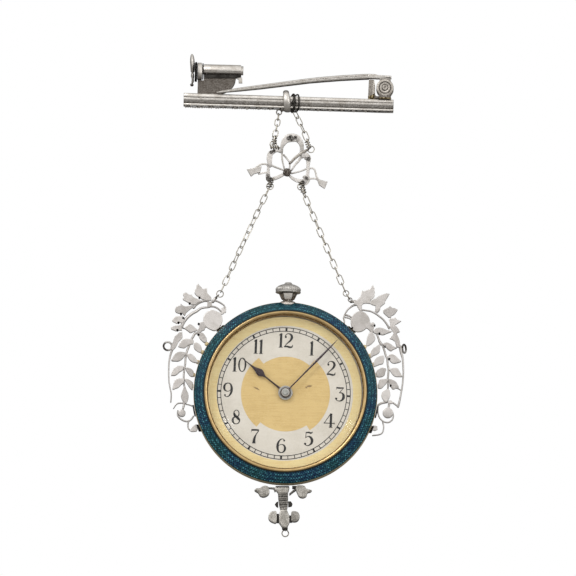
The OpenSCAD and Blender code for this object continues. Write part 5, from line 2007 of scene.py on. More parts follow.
@dataclass
class WatchCase:
    """The round case: band, back, enamelled rim, bezel and crystal."""

    centre: Vector = field(default_factory=lambda: Vector((WATCH[0], 0.0, WATCH[1])))
    case_r: float = 13.8
    bezel_r: float = 12.2
    glass_r: float = 11.62
    front_h: float = 1.9
    thick: float = 6.0

    def back(self) -> Shell:
        """The domed back cover, a hollow shell.

        Returns:
            The shell.
        """
        back_h, edge, wall, rim = self.front_h - self.thick, -1.94, 0.45, self.case_r - 0.3
        outer = []
        for i in range(21):
            a = pi / 2 * i / 20
            outer.append((rim * sin(a) ** 0.55, back_h + (edge - back_h) * (1 - cos(a))))
        inner = [(r * (rim - wall) / rim, min(h + wall, edge)) for r, h in reversed(outer)]
        return Shell().lathe(outer + inner, self.centre, 160)

    def band(self) -> Shell:
        """The case band with a narrow turned step at each edge.

        Returns:
            The shell.
        """
        r = self.case_r
        profile = [(12.0, -0.04), (r - 0.12, -0.04), (r - 0.03, -0.1), (r, -0.2), (r, -0.34),
                   (r - 0.05, -0.4), (r - 0.05, -1.4), (r, -1.46), (r, -1.62), (r - 0.06, -1.76),
                   (r - 0.2, -1.9), (12.0, -1.9)]
        return Shell().lathe(profile, self.centre, 192)

    def neck(self) -> Shell:
        """The six-sided sleeve that the crown sits on, with painted shade on its side facets and in the
        groove at its foot.

        Returns:
            The shell.
        """
        shell = Shell()
        corners = []
        # Painted shade: the side facets are dark and those facing front and back stay light.
        for k in range(6):
            for a in (60 * k + 1.5, 60 * k + 58.5):
                corners.append((cos(radians(a)), sin(radians(a)), 0.0 if k in (1, 4) else 0.8))
        shell.draw_out(corners, table(2, 1420, 50, 1420, 90, 1430, 100, 1508, 136, 1514, 130, 1514, 50),
                       lambda height, x, y: Vector((x, y, height)))
        shell.lathe(table(2, 45, 1320, 120, 1320, 126, 1360, 112, 1386, 102, 1392, 80, 1394, 74, 1400,
                          74, 1422, 45, 1422), Vector((0, 0, 0)), 48, axis=Axis.UPRIGHT,
                    tones=[0.3, 0.3, 0.5, 0.9, 1.0, 1.0, 1.0, 1.0, 1.0])
        return shell.moved(Matrix.Rotation(radians(1.0), 3, "Y"), self.centre + Vector((0, 0.6, 0)))

    def rim(self) -> Shell:
        """The sloping convex band that carries the enamel.

        Returns:
            The shell.
        """
        profile = [(self.case_r - 0.1, -0.03), (self.case_r - 0.04, 0.0)]
        for i in range(13):
            t = i / 12
            bulge = 0.16 * sin(pi * t)
            r = self.case_r - 0.04 + (self.bezel_r + 0.07 - self.case_r) * t + bulge * 0.6
            profile.append((r, 0.04 + (self.front_h - 0.19) * t + bulge * 0.6))
        profile.append((self.bezel_r + 0.04, -0.03))
        return Shell().lathe(profile, self.centre, 192)

    def bezel(self) -> Shell:
        """The bright bezel with its rounded lip and a fine step inside, with painted shade on its outer wall
        and inner step.

        Returns:
            The shell.
        """
        r, h = self.bezel_r, self.front_h
        # The lip's third column paints shade on the outer wall and the inner step.
        lip = table(3, 0, -30, 60, 1, -12, 30, 5, -3, 0, 12, 2, 0, 26, 1, 0, 38, -4, 0, 45, -10, 10,
                    48, -17, 90, 53, -24, 100, 56, -24, 80)
        profile = [(self.glass_r, 0.0), (r, 0.0), *((r - d, h + rise) for d, rise, _ in lip),
                   (self.glass_r, h - 0.3)]
        return Shell().lathe(profile, self.centre, 192, tones=[0.3, 0.3, *(tone for _, _, tone in lip), 0.8])

    def crystal(self) -> Shell:
        """The domed glass with a thin clear edge.

        Returns:
            The shell.
        """
        rim, rise, wall, base = self.glass_r - 0.04, 1.0, 0.35, self.front_h - 0.7
        top = [(rim * i / 24, base + wall + rise * (1 - (i / 24) ** 2)) for i in range(25)]
        low = [(rim * i / 24, base + rise * (1 - (i / 24) ** 2) * 0.96) for i in range(24, -1, -1)]
        return Shell().lathe(top + low, self.centre, 128)

    def build(self, shop: Workshop, look: Finishes) -> None:
        """Builds the case.

        Args:
            shop: the workshop that keeps the pieces.
            look: the finishes.
        """
        shop.piece("case_band", self.band(), look.case_gold, ["case_middle"], "gold")
        shop.piece("crown_neck", self.neck(), look.neck)
        shop.piece("case_back_cover", self.back(), look.case_gold, ["case_back"], "gold")
        shop.piece("enamel_rim", self.rim(), look.enamel, ["enamel_ring"], "enamel")
        shop.piece("gold_bezel", self.bezel(), look.gold, ["bezel"], "gold")
        shop.piece("domed_crystal", self.crystal(), look.glass, ["crystal"], "crystal")


Stroke = tuple[list[Flat], list[float]]


@dataclass
class Numeral:
    """Upright figures with thick and thin strokes, drawn in millimetres about their middle."""

    print_y: float = 0.184
    dial_y: float = 0.2
    weight: float = 1.22

    def strokes(self, digit: str) -> list[Stroke]:
        """Strokes of one figure.

        Args:
            digit: the figure.

        Returns:
            Points and widths of each stroke, the ovals first.
        """
        if digit == "9":
            return [([(-x, -z) for x, z in points], widths) for points, widths in self.strokes("6")]
        ovals = {"0": ((0.49, 0.0, 1.03, 20, (9, 23, 9, 23, 9)),),
                 "8": ((0.39, 0.53, 0.52, 24, (9, 12, 20, 12, 9)),
                       (0.52, -0.5, 0.55, 24, (10, 16, 10, 28, 10)))}
        lines = {
            "1": (((0, -103, 0, 206), (29, 29)), ((-30, 74, 16, 16, 22, 15), (4, 13, 12)), ((-28, -105, 56,
                  0), (7, 7))),
            "2": (((-46, 50, 2, 34, 34, 22, 44, -14, 16, -42, -22, -48, -48, -47, -40, -50), (14, 9, 10,
                  24, 32, 22, 12, 9)), ((-60, -97, 40, 9, 40, -10, 36, 6, 10, 32), (12, 22, 24, 18, 5))),
            "3": (((-50, 96, 50, -4, 56, 6), (18, 20, 12)), ((-50, 106, -6, -40), (7, 4)), ((52, 94, -32,
                  -39, -28, -35), (8, 8, 8)), ((-8, 19, 38, -1, 26, -33, 0, -43, -26, -36, -40, -10, -36,
                  12, -14, 24), (8, 17, 32, 34, 20, 10, 9, 10))),
            "4": (((25, -103, 0, 208), (29, 29)), ((20, 105, -92, -145), (9, 8)), ((-76, -42, 154, 0), (10,
                  10)), ((74, -28, 2, -28), (7, 7)), ((0, -105, 50, 0), (8, 8))),
            "5": (((-36, 90, 38, 6, 34, -8, 24, 20), (12, 22, 20, 5)), ((-38, 100, -4, -86), (8, 8)),
                  ((-42, 12, 32, 22, 40, -10, 24, -39, -4, -47, -34, -36, -36, -6, -34, 24), (7, 10, 26,
                  34, 30, 14, 9, 10))),
            "6": (((44, 86, -24, 18, -38, -12, -32, -50, -7, -67, 17, -60, 40, -19, 40, 18, 16, 46, -14,
                  45, -37, 15, -35, -12, -18, -28), (8, 8, 14, 26, 30, 20, 10, 20, 30, 20, 9, 8, 7)),),
            "7": (((-56, 94, 56, 3, 56, -3), (20, 22, 20)), ((-55, 105, -5, -47), (7, 4)), ((54, 90, -42,
                  -65, -22, -65, -4, -62), (8, 14, 30, 40)), ((-40, -105, 52, 0), (6, 6))),
            "8": (((-36, 62, 18, -40, 36, -32, 28, -32), (20, 30, 32, 22)),)}
        out: list[Stroke] = []
        for wide, middle, high, step, widths in ovals.get(digit, ()):
            out.append(([(wide * sin(radians(a)), middle + high * cos(radians(a)))
                         for a in range(0, 361, step)], [w / 100 for w in widths]))
        for steps, widths in lines.get(digit, ()):
            out.append((drawn(steps), [w / 100 for w in widths]))
        return out

    def balls(self, digit: str) -> tuple[Triple, ...]:
        """Round stroke ends of one figure.

        Args:
            digit: the figure.

        Returns:
            Place and radius of each.
        """
        ends = {"2": ((-0.42, 0.55, 0.16),), "3": ((-0.52, -0.7, 0.17),), "5": ((-0.46, -0.78, 0.17),),
                "6": ((0.4, 0.8, 0.14),), "9": ((-0.4, -0.8, 0.14),)}
        return ends.get(digit, ())

    def write(self, shell: Shell, figures: str, centre: Flat, turn: float, scale: float = 1.0) -> None:
        """Prints a number on the dial.

        Args:
            shell: shell that the strokes go into.
            figures: one or two figures.
            centre: middle of the number.
            turn: its turn clockwise, in degrees.
            scale: its size.
        """
        offsets = {1: (0.0,), 2: (-0.74, 0.38) if figures[-1] != "1" else (-0.4, 0.4)}[len(figures)]
        c, s = cos(radians(turn)), sin(radians(turn))
        section = Section(self.print_y, self.dial_y + 0.03, 0.0, 0.01)
        for figure, shift in zip(figures, offsets):
            def put(p: Flat) -> Flat:
                """A point of the figure on the dial."""
                x, z = (p[0] + shift) * scale, p[1] * scale
                return centre[0] + x * c + z * s, centre[1] - x * s + z * c
            for points, widths in self.strokes(figure):
                path = smooth_path([put(p) for p in points], 5)
                shell.ribbon(path, [w * scale * self.weight for w in widths], section,
                             round_ends=max(widths) < 0.2)
            for x, z, r in self.balls(figure):
                px, pz = put((x, z))
                disc = [(px + r * cos(a), pz + r * sin(a)) for a in full_turn(20)]
                shell.slab(disc, self.print_y, self.dial_y + 0.03, 0.004)


@dataclass
class Dial:
    """The silvered dial with gilt zones, railway track and figures."""

    centre: Flat = WATCH
    turned: float = 1.9
    dial_y: float = 0.2
    track_centre: Flat = (-0.25, -44.95)
    margin_centre: Flat = (-0.1, -44.9)
    figures: tuple[tuple[str, float, float], ...] = (
        ("12", 0.0, -36.92), ("1", 3.9, -38.07), ("2", 6.8, -41.07), ("3", 8.15, -44.97), ("4", 6.6, -48.97),
        ("5", 3.5, -51.77), ("6", -0.55, -52.87), ("7", -4.5, -51.47), ("8", -7.35, -48.57),
        ("9", -8.65, -44.47), ("10", -6.9, -40.62), ("11", -4.1, -37.87))

    def plate(self) -> Shell:
        """The dial's plate, with the hole for the hands."""
        profile = table(2, 40, -55, 1171, -55, 1171, -22, 1169, -20, 40, -20)
        return Shell().lathe(profile, Vector((self.centre[0], 0.0, self.centre[1])), 128)

    def zone(self, angles: Sequence[float], inner: Callable[[float], float], outer: Callable[[float], float],
             lift: float, middle: Flat) -> Shell:
        """A thin flat zone of plating.

        Args:
            angles: angles clockwise from twelve, in degrees.
            inner: radius of its inner edge at an angle.
            outer: radius of its outer edge at an angle.
            lift: how far it stands above the dial.
            middle: the point that its radii count from.

        Returns:
            The shell.
        """
        loops = []
        for a in angles:
            s, c = sin(radians(a)), cos(radians(a))
            loop = []
            for r, y in ((inner(a), self.dial_y + 0.02), (outer(a), self.dial_y + 0.02),
                         (outer(a), self.dial_y - lift), (inner(a), self.dial_y - lift)):
                loop.append(Vector((middle[0] + r * s, y, middle[1] + r * c)))
            loops.append(loop)
        return Shell().loft(loops, ring=True)

    def gilt_outer(self, angle: float) -> float:
        """Outer radius of the gilt centre: full, but drawn in where the two bare banners lie.

        Args:
            angle: angle clockwise from twelve, in degrees.

        Returns:
            The radius.
        """
        if -37 <= angle <= 40.5:
            return 5.55
        if 146.5 <= angle or angle <= -140:
            return 5.8
        return 6.68

    def banner_angles(self) -> list[float]:
        """Angles that step the gilt centre's outline sharply at the banners' ends.

        Returns:
            The angles, in degrees.
        """
        ends = (-140.0, -37.0, 40.5, 146.5)
        angles = [-180 + 2.0 * k for k in range(180)]
        angles += [e + d for e in ends for d in (-0.05, 0.05)]
        return sorted(a for a in set(angles) if all(abs(a - e) > 0.5 or abs(abs(a - e) - 0.05) < 0.01
                                                    for e in ends))

    def track_tree(self, material: Material) -> Tree:
        """The railway track: two hairline circles and sixty marks, each fifth one heavier.

        Args:
            material: material of the print.

        Returns:
            The Geometry Nodes tree.
        """
        g = Grower("railway_track")
        inner = g.size("Inner radius", 9.45 * MM)
        outer = g.size("Outer radius", 9.98 * MM)
        line = g.size("Line width", 0.115 * MM)
        mark = g.size("Mark width", 0.12 * MM)
        heavy = g.size("Heavy mark width", 0.3 * MM)
        high = 0.012 * MM
        parts = []
        for radius in (inner, outer):
            round_line = g.node("GeometryNodeCurvePrimitiveCircle", Resolution=180, Radius=radius)
            strip = g.node("GeometryNodeCurvePrimitiveQuadrilateral", Width=line, Height=high)
            parts.append(g.node("GeometryNodeCurveToMesh", Curve=round_line, Profile_Curve=strip))
        number = g.node("GeometryNodeInputIndex")
        fifth = g.node("FunctionNodeCompare", {"data_type": "FLOAT", "operation": "LESS_THAN"},
                       A=g.math("MODULO", number, 5.0), B=0.5)
        middle = g.times(g.plus(inner, outer), 0.5)
        ring = g.node("GeometryNodeMeshCircle", Vertices=60, Radius=middle)
        unit = g.node("GeometryNodeMeshCube", Size=(1.0, 1.0, 1.0))
        turn = g.node("ShaderNodeCombineXYZ", Z=g.times(number, 2 * pi / 60))
        wide = g.node("GeometryNodeSwitch", {"input_type": "FLOAT"}, Switch=fifth,
                      **{"False": mark, "True": heavy})
        size = g.node("ShaderNodeCombineXYZ", X=g.math("SUBTRACT", outer, inner), Y=wide, Z=high)
        parts.append(g.node("GeometryNodeInstanceOnPoints", Points=ring, Instance=unit, Rotation=turn,
                            Scale=size))
        x, z = self.track_centre
        stand = g.node("GeometryNodeTransform", Geometry=g.join(*parts),
                       Rotation=(pi / 2, radians(self.turned), 0),
                       Translation=(x * MM, (self.dial_y - 0.004) * MM, z * MM))
        return g.finish(stand, material)

    def build(self, shop: Workshop, look: Finishes) -> None:
        """Builds the dial.

        Args:
            shop: the workshop that keeps the pieces.
            look: the finishes.
        """
        shop.piece("dial_plate", self.plate(), look.silvered, ["dial"], "dial")
        gilt = self.zone(self.banner_angles(), lambda a: 0.42, self.gilt_outer, 0.008, self.centre)
        margin = Shell()
        margin.lathe([(10.24, -0.215), (10.24, -0.19), (10.3, -0.185), (11.4, 0.05), (11.5, 0.08),
                      (11.55, 0.06), (11.55, -0.215)],
                     Vector((self.margin_centre[0], 0.0, self.margin_centre[1])), 128)
        shop.piece("gilt_centre", gilt, look.gilt, (), "dial", sharp=30.0)
        shop.piece("gilt_margin", margin, look.margin, (), "dial", sharp=30.0)
        empty = bpy.data.meshes.new("track_seed")
        track = grow("railway_track", empty, self.track_tree(look.print), {})
        shop.keep(track, look.print, (), "dial", sharp=30.0)
        ink = Shell()
        for figures, x, z in self.figures:
            Numeral().write(ink, figures, (x, z), self.turned)
        shop.piece("dial_figures", ink, look.print, (), "dial", sharp=30.0)


@dataclass
class Hands:
    """Hour and minute hands with their bosses."""

    centre: Vector = field(default_factory=lambda: Vector((WATCH[0], 0.0, WATCH[1])))
    hour_angle: float = 308.4
    minute_angle: float = 43.9
    hour: tuple[Flat, ...] = ((0.85, 0.17), (1.8, 0.14), (3.2, 0.115), (3.9, 0.13), (4.25, 0.26), (4.6, 0.47),
                              (4.9, 0.54), (5.25, 0.47), (5.7, 0.29), (6.1, 0.18), (6.8, 0.1), (7.5, 0.06),
                              (8.45, 0.02))
    minute: tuple[Flat, ...] = ((0.6, 0.11), (2.5, 0.1), (5.0, 0.13), (6.8, 0.165), (8.2, 0.15), (9.6, 0.11),
                                (10.6, 0.06), (11.2, 0.02))

    def blade(self, stations: Sequence[Flat], angle: float, front: float, back: float) -> Shell:
        """A blade with a crowned front, pointing at an angle clockwise from twelve.

        Args:
            stations: distances from the centre with half widths.
            angle: where it points, in degrees.
            front: depth of its ridge.
            back: depth of its back.

        Returns:
            The shell.
        """
        section = Section(front, back, 0.05)
        s, c = sin(radians(angle)), cos(radians(angle))
        loops = []
        for r, half in smooth_path(stations, 5):
            loops.append([self.centre + Vector((r * s - w * c, y, r * c + w * s))
                          for w, y in section.loop(max(half, 0.012))])
        return Shell().loft(loops)

    def build(self, shop: Workshop, look: Finishes) -> None:
        """Builds both hands.

        Args:
            shop: the workshop that keeps the pieces.
            look: the finishes.
        """
        hour = self.blade(self.hour, self.hour_angle, -0.35, -0.15)
        shop.piece("hour_blade", hour, look.hands, ["hour_hand"], "hand", Body.HOUR)
        boss = Shell()
        boss.lathe(table(2, 40, 10, 106, 10, 108, 14, 108, 34, 105, 39, 98, 41, 90, 38, 84, 36, 40, 36),
                   self.centre, 64, 0.15)
        shop.piece("hour_boss", boss, look.white, (), "hand", Body.HOUR)
        minute = self.blade(self.minute, self.minute_angle, -0.76, -0.58)
        minute.lathe(table(2, 40, 50, 76, 50, 76, 60, 74, 64, 40, 64), self.centre, 64)
        shop.piece("minute_blade", minute, look.hands, ["minute_hand"], "hand", Body.MINUTE)
        cap = Shell()
        cap.lathe(table(2, 40, 64, 62, 64, 64, 68, 63, 78, 58, 83, 40, 84), self.centre, 64, 0.1)
        shop.piece("minute_boss", cap, look.white, (), "hand", Body.MINUTE)
        shop.dress("movement_plate", look.crown)


@dataclass
class Crown:
    """The fluted winding crown with its button, and its stem."""

    centre: Vector = field(default_factory=lambda: Vector((WATCH[0], 0.0, WATCH[1])))
    watch_turn: float = 1.0
    set_back: float = 0.6
    base: float = 15.2
    top: float = 16.86
    rim: float = 1.92
    flutes: int = 36

    def body(self) -> Shell:
        """The crown before fluting: lip, dome and button.

        Returns:
            The shell.
        """
        dome = self.top - 0.2 - self.base - 0.55
        profile = [(0.43, self.base), (1.5, self.base), (self.rim - 0.12, self.base + 0.03),
                   (self.rim - 0.03, self.base + 0.1), (self.rim - 0.02, self.base + 0.22),
                   (self.rim - 0.08, self.base + 0.3), (self.rim - 0.05, self.base + 0.38)]
        for i in range(9):
            a = radians(8 * i + 4)
            profile.append((self.rim * cos(a), self.base + 0.5 + dome * sin(a)))
        profile += [(0.56, self.top - 0.2), (0.52, self.top - 0.14), (0.5, self.top - 0.08),
                    (0.42, self.top - 0.02), (0.2, self.top), (0.0, self.top), (0.0, self.base + 0.8),
                    (0.43, self.base + 0.8)]
        return Shell().lathe(profile, Vector((0, 0, 0)), 288, axis=Axis.UPRIGHT)

    def flute_tree(self, material: Material) -> Tree:
        """Presses flutes into the dome, deepest at its widest part.

        Args:
            material: material of the crown.

        Returns:
            The Geometry Nodes tree.
        """
        g = Grower("crown_flutes")
        count = g.size("Flutes", float(self.flutes))
        depth = g.size("Depth", 0.08 * MM)
        low = g.size("Lowest", 15.55 * MM)
        high = g.size("Highest", 16.62 * MM)
        place = g.node("GeometryNodeInputPosition")
        x, y, z = g.node("ShaderNodeSeparateXYZ", Vector=place).outputs
        wave = g.math("COSINE", g.times(g.math("ARCTAN2", y, x), count))
        pressed = g.math("POWER", g.math("MULTIPLY_ADD", wave, 0.5, 0.5), 1.4)
        rise = g.node("ShaderNodeMapRange", Value=z, From_Min=low, From_Max=g.plus(low, 0.12 * MM))
        fall = g.node("ShaderNodeMapRange", Value=z, From_Min=high,
                      From_Max=g.math("SUBTRACT", high, 0.75 * MM))
        radius = g.length(x, y)
        outer = g.math("GREATER_THAN", radius, 0.6 * MM)
        amount = g.times(g.times(rise, fall), g.times(g.times(pressed, depth), outer))
        flat = g.node("ShaderNodeCombineXYZ", X=x, Y=y)
        unit = g.node("ShaderNodeVectorMath", {"operation": "NORMALIZE"}, Vector=flat)
        push = g.node("ShaderNodeVectorMath", {"operation": "SCALE"}, Vector=unit,
                      Scale=g.times(amount, -1.0))
        moved = g.node("GeometryNodeSetPosition", Geometry=g.incoming, Offset=push)
        turn = g.node("GeometryNodeTransform", Geometry=moved,
                      Rotation=(0, radians(self.watch_turn), 0),
                      Translation=(0, self.set_back * MM, self.centre.z * MM))
        return g.finish(turn, material)

    def build(self, shop: Workshop, look: Finishes) -> None:
        """Builds the crown.

        Args:
            shop: the workshop that keeps the pieces.
            look: the finishes.
        """
        seed = self.body().mesh("crown_seed")
        crown = grow("fluted_crown", seed, self.flute_tree(look.crown), {"Flutes": float(self.flutes)})
        shop.keep(crown, look.crown, ["crown"], body=Body.CROWN)
        shop.dress("crown_stem", look.dark)


@dataclass
class DropFinial:
    """The flat finial below the case: plate, column, foot, bosses, leaves and open ring.

    Attributes:
        front: depth of its front.
        back: depth of its back.
        level: height of the middle.
        plates: how far back, softness, darkening, whether curved, and the outline's steps of each.
        shadows: steps round the dark slabs that stand for shadow.
    """

    front: float = 0.3
    back: float = 1.3
    level: float = -62.0
    plates: tuple[tuple[float, float, float, bool, Row], ...] = (
        (0.0, 0.12, 0.0, False, (-163, 284, 117, 4, 118, -1, -7, -43, -16, -43, -73, -11, -74, 4, -29, 37,
         -26, 14)),
        (-0.03, 0.14, 0.4, False, (-100, 199, 76, -4, 75, 6, 3, -114, -6, -85, -11, -64, -48, -5, -51, 4,
         -20, 88, -13, 97)),
        (-0.07, 0.16, 0.1, False, (-62, -55, 98, 1, 42, -102, -1, -97, -22, -43, -9, -33, -74, 0, -22, 31,
         -32, 44, -3, 97)),
        (-0.12, 0.1, 0.1, True, (-119, -91, -44, 13, -47, -20, -30, -55, 9, -57, 46, -36, 67, -4)),
        (-0.12, 0.1, 0.3, True, (102, -97, 35, 22, 61, -13, 31, -54, -14, -61, -40, -32, -53, -1, -18,
         20)),
        (0.05, 0.1, 0.2, True, (-453, 240, 35, 29, 48, 5, 42, 30, 66, 1, 27, -39, 8, -58, -22, -46, -59,
         -28, -58, 14, -32, 49, -37, 21)),
        (0.05, 0.1, 0.1, True, (173, 308, 57, 13, 70, -11, 26, -39, 80, -24, -19, -31, -46, -13, -14, -49,
         -47, -27, -58, 14, -32, 54, -19, 50)),
        (0.12, 0.05, 0.5, False, (-244, 290, 84, -6, 31, -53, -18, -15, -21, 46, -76, 6)),
        (0.12, 0.05, 0.8, False, (173, 272, -50, -27, -54, -52, 4, -26, 50, 41, 52, 37)))
    shadows: tuple[Row, ...] = (
        (-136, 306, 204, 1, 0, -15, -204, -1),
        (-36, -324, 89, 0, -2, -29, -82, 0),
        (-126, -115, 45, 0, 2, -135, -46, 0),
        (72, -138, 40, 1, 1, -106, -40, 0),
        (-94, 73, -28, -12, -22, -32, 23, -35, 28, -13),
        (54, 74, 40, 3, 26, -38, -13, -37, -50, -10),
        (113, 312, 69, 0, 0, -50, -69, 7))

    def body(self) -> Shell:
        """The plates and the column's rolls.

        Returns:
            The shell.
        """
        shell = Shell()
        for behind, soft, tone, curved, steps in self.plates:
            outline = drawn(steps, (0.0, self.level))
            outline = closed_curve(outline) if curved else outline
            shell.slab(outline, self.front + behind, self.back, soft, tone)
        rolls, top, pitch, wide, taper = 7, self.level + 1.8, 0.31, 0.7, 0.028
        for k in range(rolls):
            z, half = top - pitch * k, wide - taper * k
            path = [Vector((-0.21 + half * cos(t), self.front - 0.02 - 0.06 * sin(t),
                            z + 0.05 * cos(t))) for t in (pi * i / 10 for i in range(11))]
            shell.tube(path, 0.09, 8, shade_and_patina=0.9 if k % 2 else 0.5)
        return shell

    def shadow_slabs(self) -> Shell:
        """Dark slabs that stand for shadow on the finial.

        Returns:
            The shell.
        """
        shell = Shell()
        for steps in self.shadows:
            shell.slab(drawn(steps, (0.0, self.level)), self.front + 0.16, self.back - 0.1, 0.04)
        return shell

    def rings(self) -> Shell:
        """The edge-on eye at the foot."""
        return Shell().tube(circle(Vector((0.15, 0.8, -65.5)), 0.2, BACK, -UP), 0.075, ring=True, shade_and_patina=0.6)

    def open_ring(self) -> Shell:
        """The ring that hangs in the eye."""
        path = circle(Vector((0.15, 0.8, -66.06)), 0.49, RIGHT, UP, 36)
        return Shell().tube(path, 0.085, ring=True, shade_and_patina=[0.7 if k < 14 else 0.35 for k in range(36)])

    def build(self, shop: Workshop, look: Finishes) -> None:
        """Builds the finial and its ring.

        Args:
            shop: the workshop that keeps the pieces.
            look: the finishes.
        """
        shop.piece("finial_body", self.body(), look.finial, ["drop_finial"])
        shop.piece("finial_painted_shadows", self.shadow_slabs(), look.dark)
        shop.piece("finial_eye", self.rings(), look.finial)
        shop.piece("finial_ring", self.open_ring(), look.chain, ["drop_ring"])


# Studio


@dataclass
class Studio:
    """Camera at the photograph's angle, soft lights and a plain pale floor.

    Attributes:
        target: the point that the camera and the large lamps face, in metres.
        dial: the point that the narrow lamps face.
        width: width of the picture, in metres.
        look_up: how far the camera looks up, in degrees.
        roll: how far it is turned about its view, in degrees.
        distance: how far it stands from the target.
        floor_z: height of the floor.
        room_soft: strength of the room's light on matt surfaces.
        room_low: strength of its reflection low down.
        room_top: how much that grows upwards.
        room_back: strength of its reflection behind the jewel.
    """

    target: Triple = (0.0002425, 0.0, -0.028967)
    dial: Triple = (0.0, 0.0, -0.045)
    width: float = 0.0864
    look_up: float = 8.5
    roll: float = 0.5
    distance: float = 0.4
    floor_z: float = -0.16
    room_soft: float = 1.4
    room_low: float = 0.3
    room_top: float = 0.75
    room_back: float = 0.14

    def camera(self) -> None:
        """Places the camera."""
        data = bpy.data.cameras.new("camera")
        data.type = "ORTHO"
        data.ortho_scale = self.width
        data.clip_start, data.clip_end = 0.01, 5.0
        tilt, roll = radians(self.look_up), radians(self.roll)
        ahead = Vector((0.0, cos(tilt), sin(tilt)))
        up = Vector((0.0, -sin(tilt), cos(tilt)))
        right = Vector((1.0, 0.0, 0.0))
        side = right * cos(roll) + up * sin(roll)
        top = up * cos(roll) - right * sin(roll)
        camera = bpy.data.objects.new("camera", data)
        turn = Matrix((side, top, -ahead)).transposed().to_4x4()
        camera.matrix_world = Matrix.Translation(Vector(self.target) - ahead * self.distance) @ turn
        bpy.context.scene.collection.objects.link(camera)
        bpy.context.scene.camera = camera

    def lamp(self, name: str, place: Triple, size: Flat, power: float, aim: Triple,
             spin: float = 0.0) -> None:
        """Adds a soft rectangular light.

        Args:
            name: its name.
            place: where it stands.
            size: its width and height.
            power: its power in watts.
            aim: the point that it faces.
            spin: its turn about the line to that point, in degrees.
        """
        data = bpy.data.lights.new(name, "AREA")
        data.shape = "RECTANGLE"
        data.size, data.size_y, data.energy = size[0], size[1], power
        lamp = bpy.data.objects.new(name, data)
        lamp.location = place
        facing = (Vector(aim) - Vector(place)).to_track_quat("-Z", "Y").to_matrix()
        lamp.rotation_euler = (facing @ Matrix.Rotation(radians(spin), 3, "Z")).to_euler()
        bpy.context.scene.collection.objects.link(lamp)

    def floor(self) -> None:
        """A plain pale floor far below the jewel."""
        mesh = bpy.data.meshes.new("pale_floor")
        mesh.from_pydata([(-3, -3, self.floor_z), (3, -3, self.floor_z), (3, 3, self.floor_z),
                          (-3, 3, self.floor_z)], [], [(0, 1, 2, 3)])
        floor = bpy.data.objects.new("pale_floor", mesh)
        bpy.context.scene.collection.objects.link(floor)
        material, sheet, shader = new_material("pale_floor")
        cloud = sheet.noise(sheet.place(), 0.02, 2.0, 0.5)
        sheet.put(shader.inputs["Base Color"],
                  sheet.blend(cloud, (0.84, 0.84, 0.84, 1), (0.88, 0.88, 0.87, 1)))
        shader.inputs["Roughness"].default_value = 0.9
        mesh.materials.append(material)
        floor.visible_glossy = False
        floor.visible_diffuse = False

    def room(self) -> bpy.types.World:
        """A white backdrop, and a graded room that lights the jewel and shows in its metal.

        Returns:
            The world.
        """
        world = bpy.data.worlds.new("graded_room")
        world.use_nodes = True
        world.node_tree.nodes.clear()
        sheet = Sheet(world.node_tree)
        way = sheet.node("ShaderNodeTexCoord").outputs["Generated"]
        _, y, z = sheet.split(way)
        front = sheet.ramp(sheet.times(y, -1.0), -0.9, 0.4)
        above = sheet.ramp(z, -0.6, 0.9)
        shown = sheet.math("MULTIPLY_ADD", above, self.room_top, self.room_low)
        shown = sheet.math("MULTIPLY_ADD", shown, front, self.room_back)
        rays = sheet.node("ShaderNodeLightPath")
        light = sheet.math("MULTIPLY_ADD", sheet.math("SUBTRACT", shown, self.room_soft),
                           rays.outputs["Is Glossy Ray"], self.room_soft)
        lit = sheet.node("ShaderNodeBackground")
        lit.inputs["Color"].default_value = (1.0, 0.985, 0.965, 1)
        sheet.put(lit.inputs["Strength"], light)
        plain = sheet.node("ShaderNodeBackground")
        plain.inputs["Color"].default_value = (1, 1, 1, 1)
        mixer = sheet.node("ShaderNodeMixShader")
        output = sheet.node("ShaderNodeOutputWorld")
        sheet.put(mixer.inputs[0], rays.outputs["Is Camera Ray"])
        sheet.put(mixer.inputs[1], lit)
        sheet.put(mixer.inputs[2], plain)
        sheet.put(output.inputs[0], mixer)
        return world

    def build(self) -> None:
        """Sets up the studio."""
        scene = bpy.context.scene
        scene.world = self.room()
        scene.view_settings.view_transform = "Standard"
        self.camera()
        self.floor()
        self.lamp("key", (-0.26, -0.42, 0.29), (0.15, 0.15), 1.25, self.target)
        self.lamp("fill", (0.34, -0.4, 0.05), (0.24, 0.24), 0.6, self.target)
        self.lamp("left_strip", (-0.158, -0.578, -0.052), (0.006, 0.034), 0.02, self.dial, 28.0)
        self.lamp("right_strip", (0.172, -0.575, -0.048), (0.004, 0.034), 0.012, self.dial, -28.0)


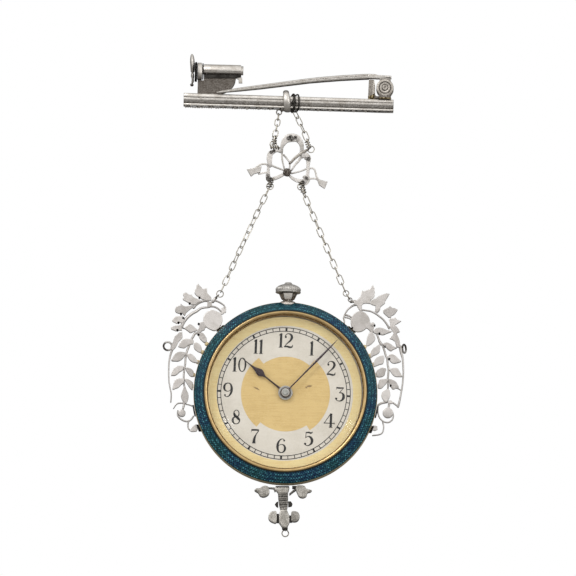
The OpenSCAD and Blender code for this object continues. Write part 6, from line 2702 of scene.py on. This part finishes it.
def main() -> None:
    """Loads the frame, builds the jewel class by class, and finishes."""
    logging.basicConfig(level=logging.INFO, format="%(name)s %(message)s")
    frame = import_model()
    Studio().build()
    look = Finishes()
    shop = Workshop(frame)
    BarBrooch().build(shop, look)
    Hangers().build(shop, look)
    bow = RibbonBow()
    rings = bow.bow_rings
    wing_l, wing_r, reach, fall = (-9.95, -29.95), (9.3, -30.25), 0.5, radians(57)
    gap = 0.65
    small = (wing_r[0] - gap * cos(fall), wing_r[1] + gap * sin(fall))
    chains = (
        ChainRun("chain_upper_left", (-1.41, -2.76), foot_of(rings[0], reach, (-1.41, -2.76)), 5, 0.05, 8.0,
                 ((rings[0], reach),),
                 (((-1.95, -5.9), (-2.04, -7.3), 0.3), ((-2.6, -7.6), (-1.2, -7.72), 0.26))),
        ChainRun("chain_upper_right", (0.95, -2.19), foot_of(rings[1], reach, (0.95, -2.19)), 5, 0.1, 45.0,
                 ((rings[1], reach),), (((2.85, -6.6), (3.27, -7.84), 0.3),)),
        ChainRun("chain_lower_left", foot_of(rings[2], reach, wing_l),
                 foot_of(wing_l, reach, foot_of(rings[2], reach, wing_l)), 14, -0.05, -12.0,
                 ((rings[2], reach), (wing_l, reach)),
                 (((-3.1, -12.55), (-1.9, -12.5), 0.24), ((-2.44, -12.8), (-2.75, -13.7), 0.34))),
        ChainRun("chain_lower_right", foot_of(rings[3], reach, small),
                 foot_of(small, 0.42, foot_of(rings[3], reach, small)), 13, 0.0, -16.0,
                 ((rings[3], reach), (small, 0.42)), (((2.0, -12.7), (2.5, -14.6), 0.34),)),
    )
    for chain in chains:
        chain.build(shop, look)
    bow.build(shop, look)
    slant = radians(-140)
    lug_l = (wing_l[0] + reach * cos(slant), wing_l[1] + reach * sin(slant))
    lug_r = (wing_r[0] + reach * cos(fall), wing_r[1] - reach * sin(fall))
    left_wing(wing_l, lug_l).build(shop, look)
    right_wing(wing_r, lug_r).build(shop, look)
    SideRing("side_ring_left", (-17.72, 1.3, -37.75), 0.0, 200.0, 0.1).build(shop, look)
    SideRing("side_ring_right", (17.75, 1.9, -37.75), 65.0, 90.0, 1.0).build(shop, look)
    WatchCase().build(shop, look)
    Dial().build(shop, look)
    Hands().build(shop, look)
    Crown().build(shop, look)
    DropFinial().build(shop, look)
    LOG.info("%d pieces", len(shop.made))


if __name__ == "__main__":
    main()
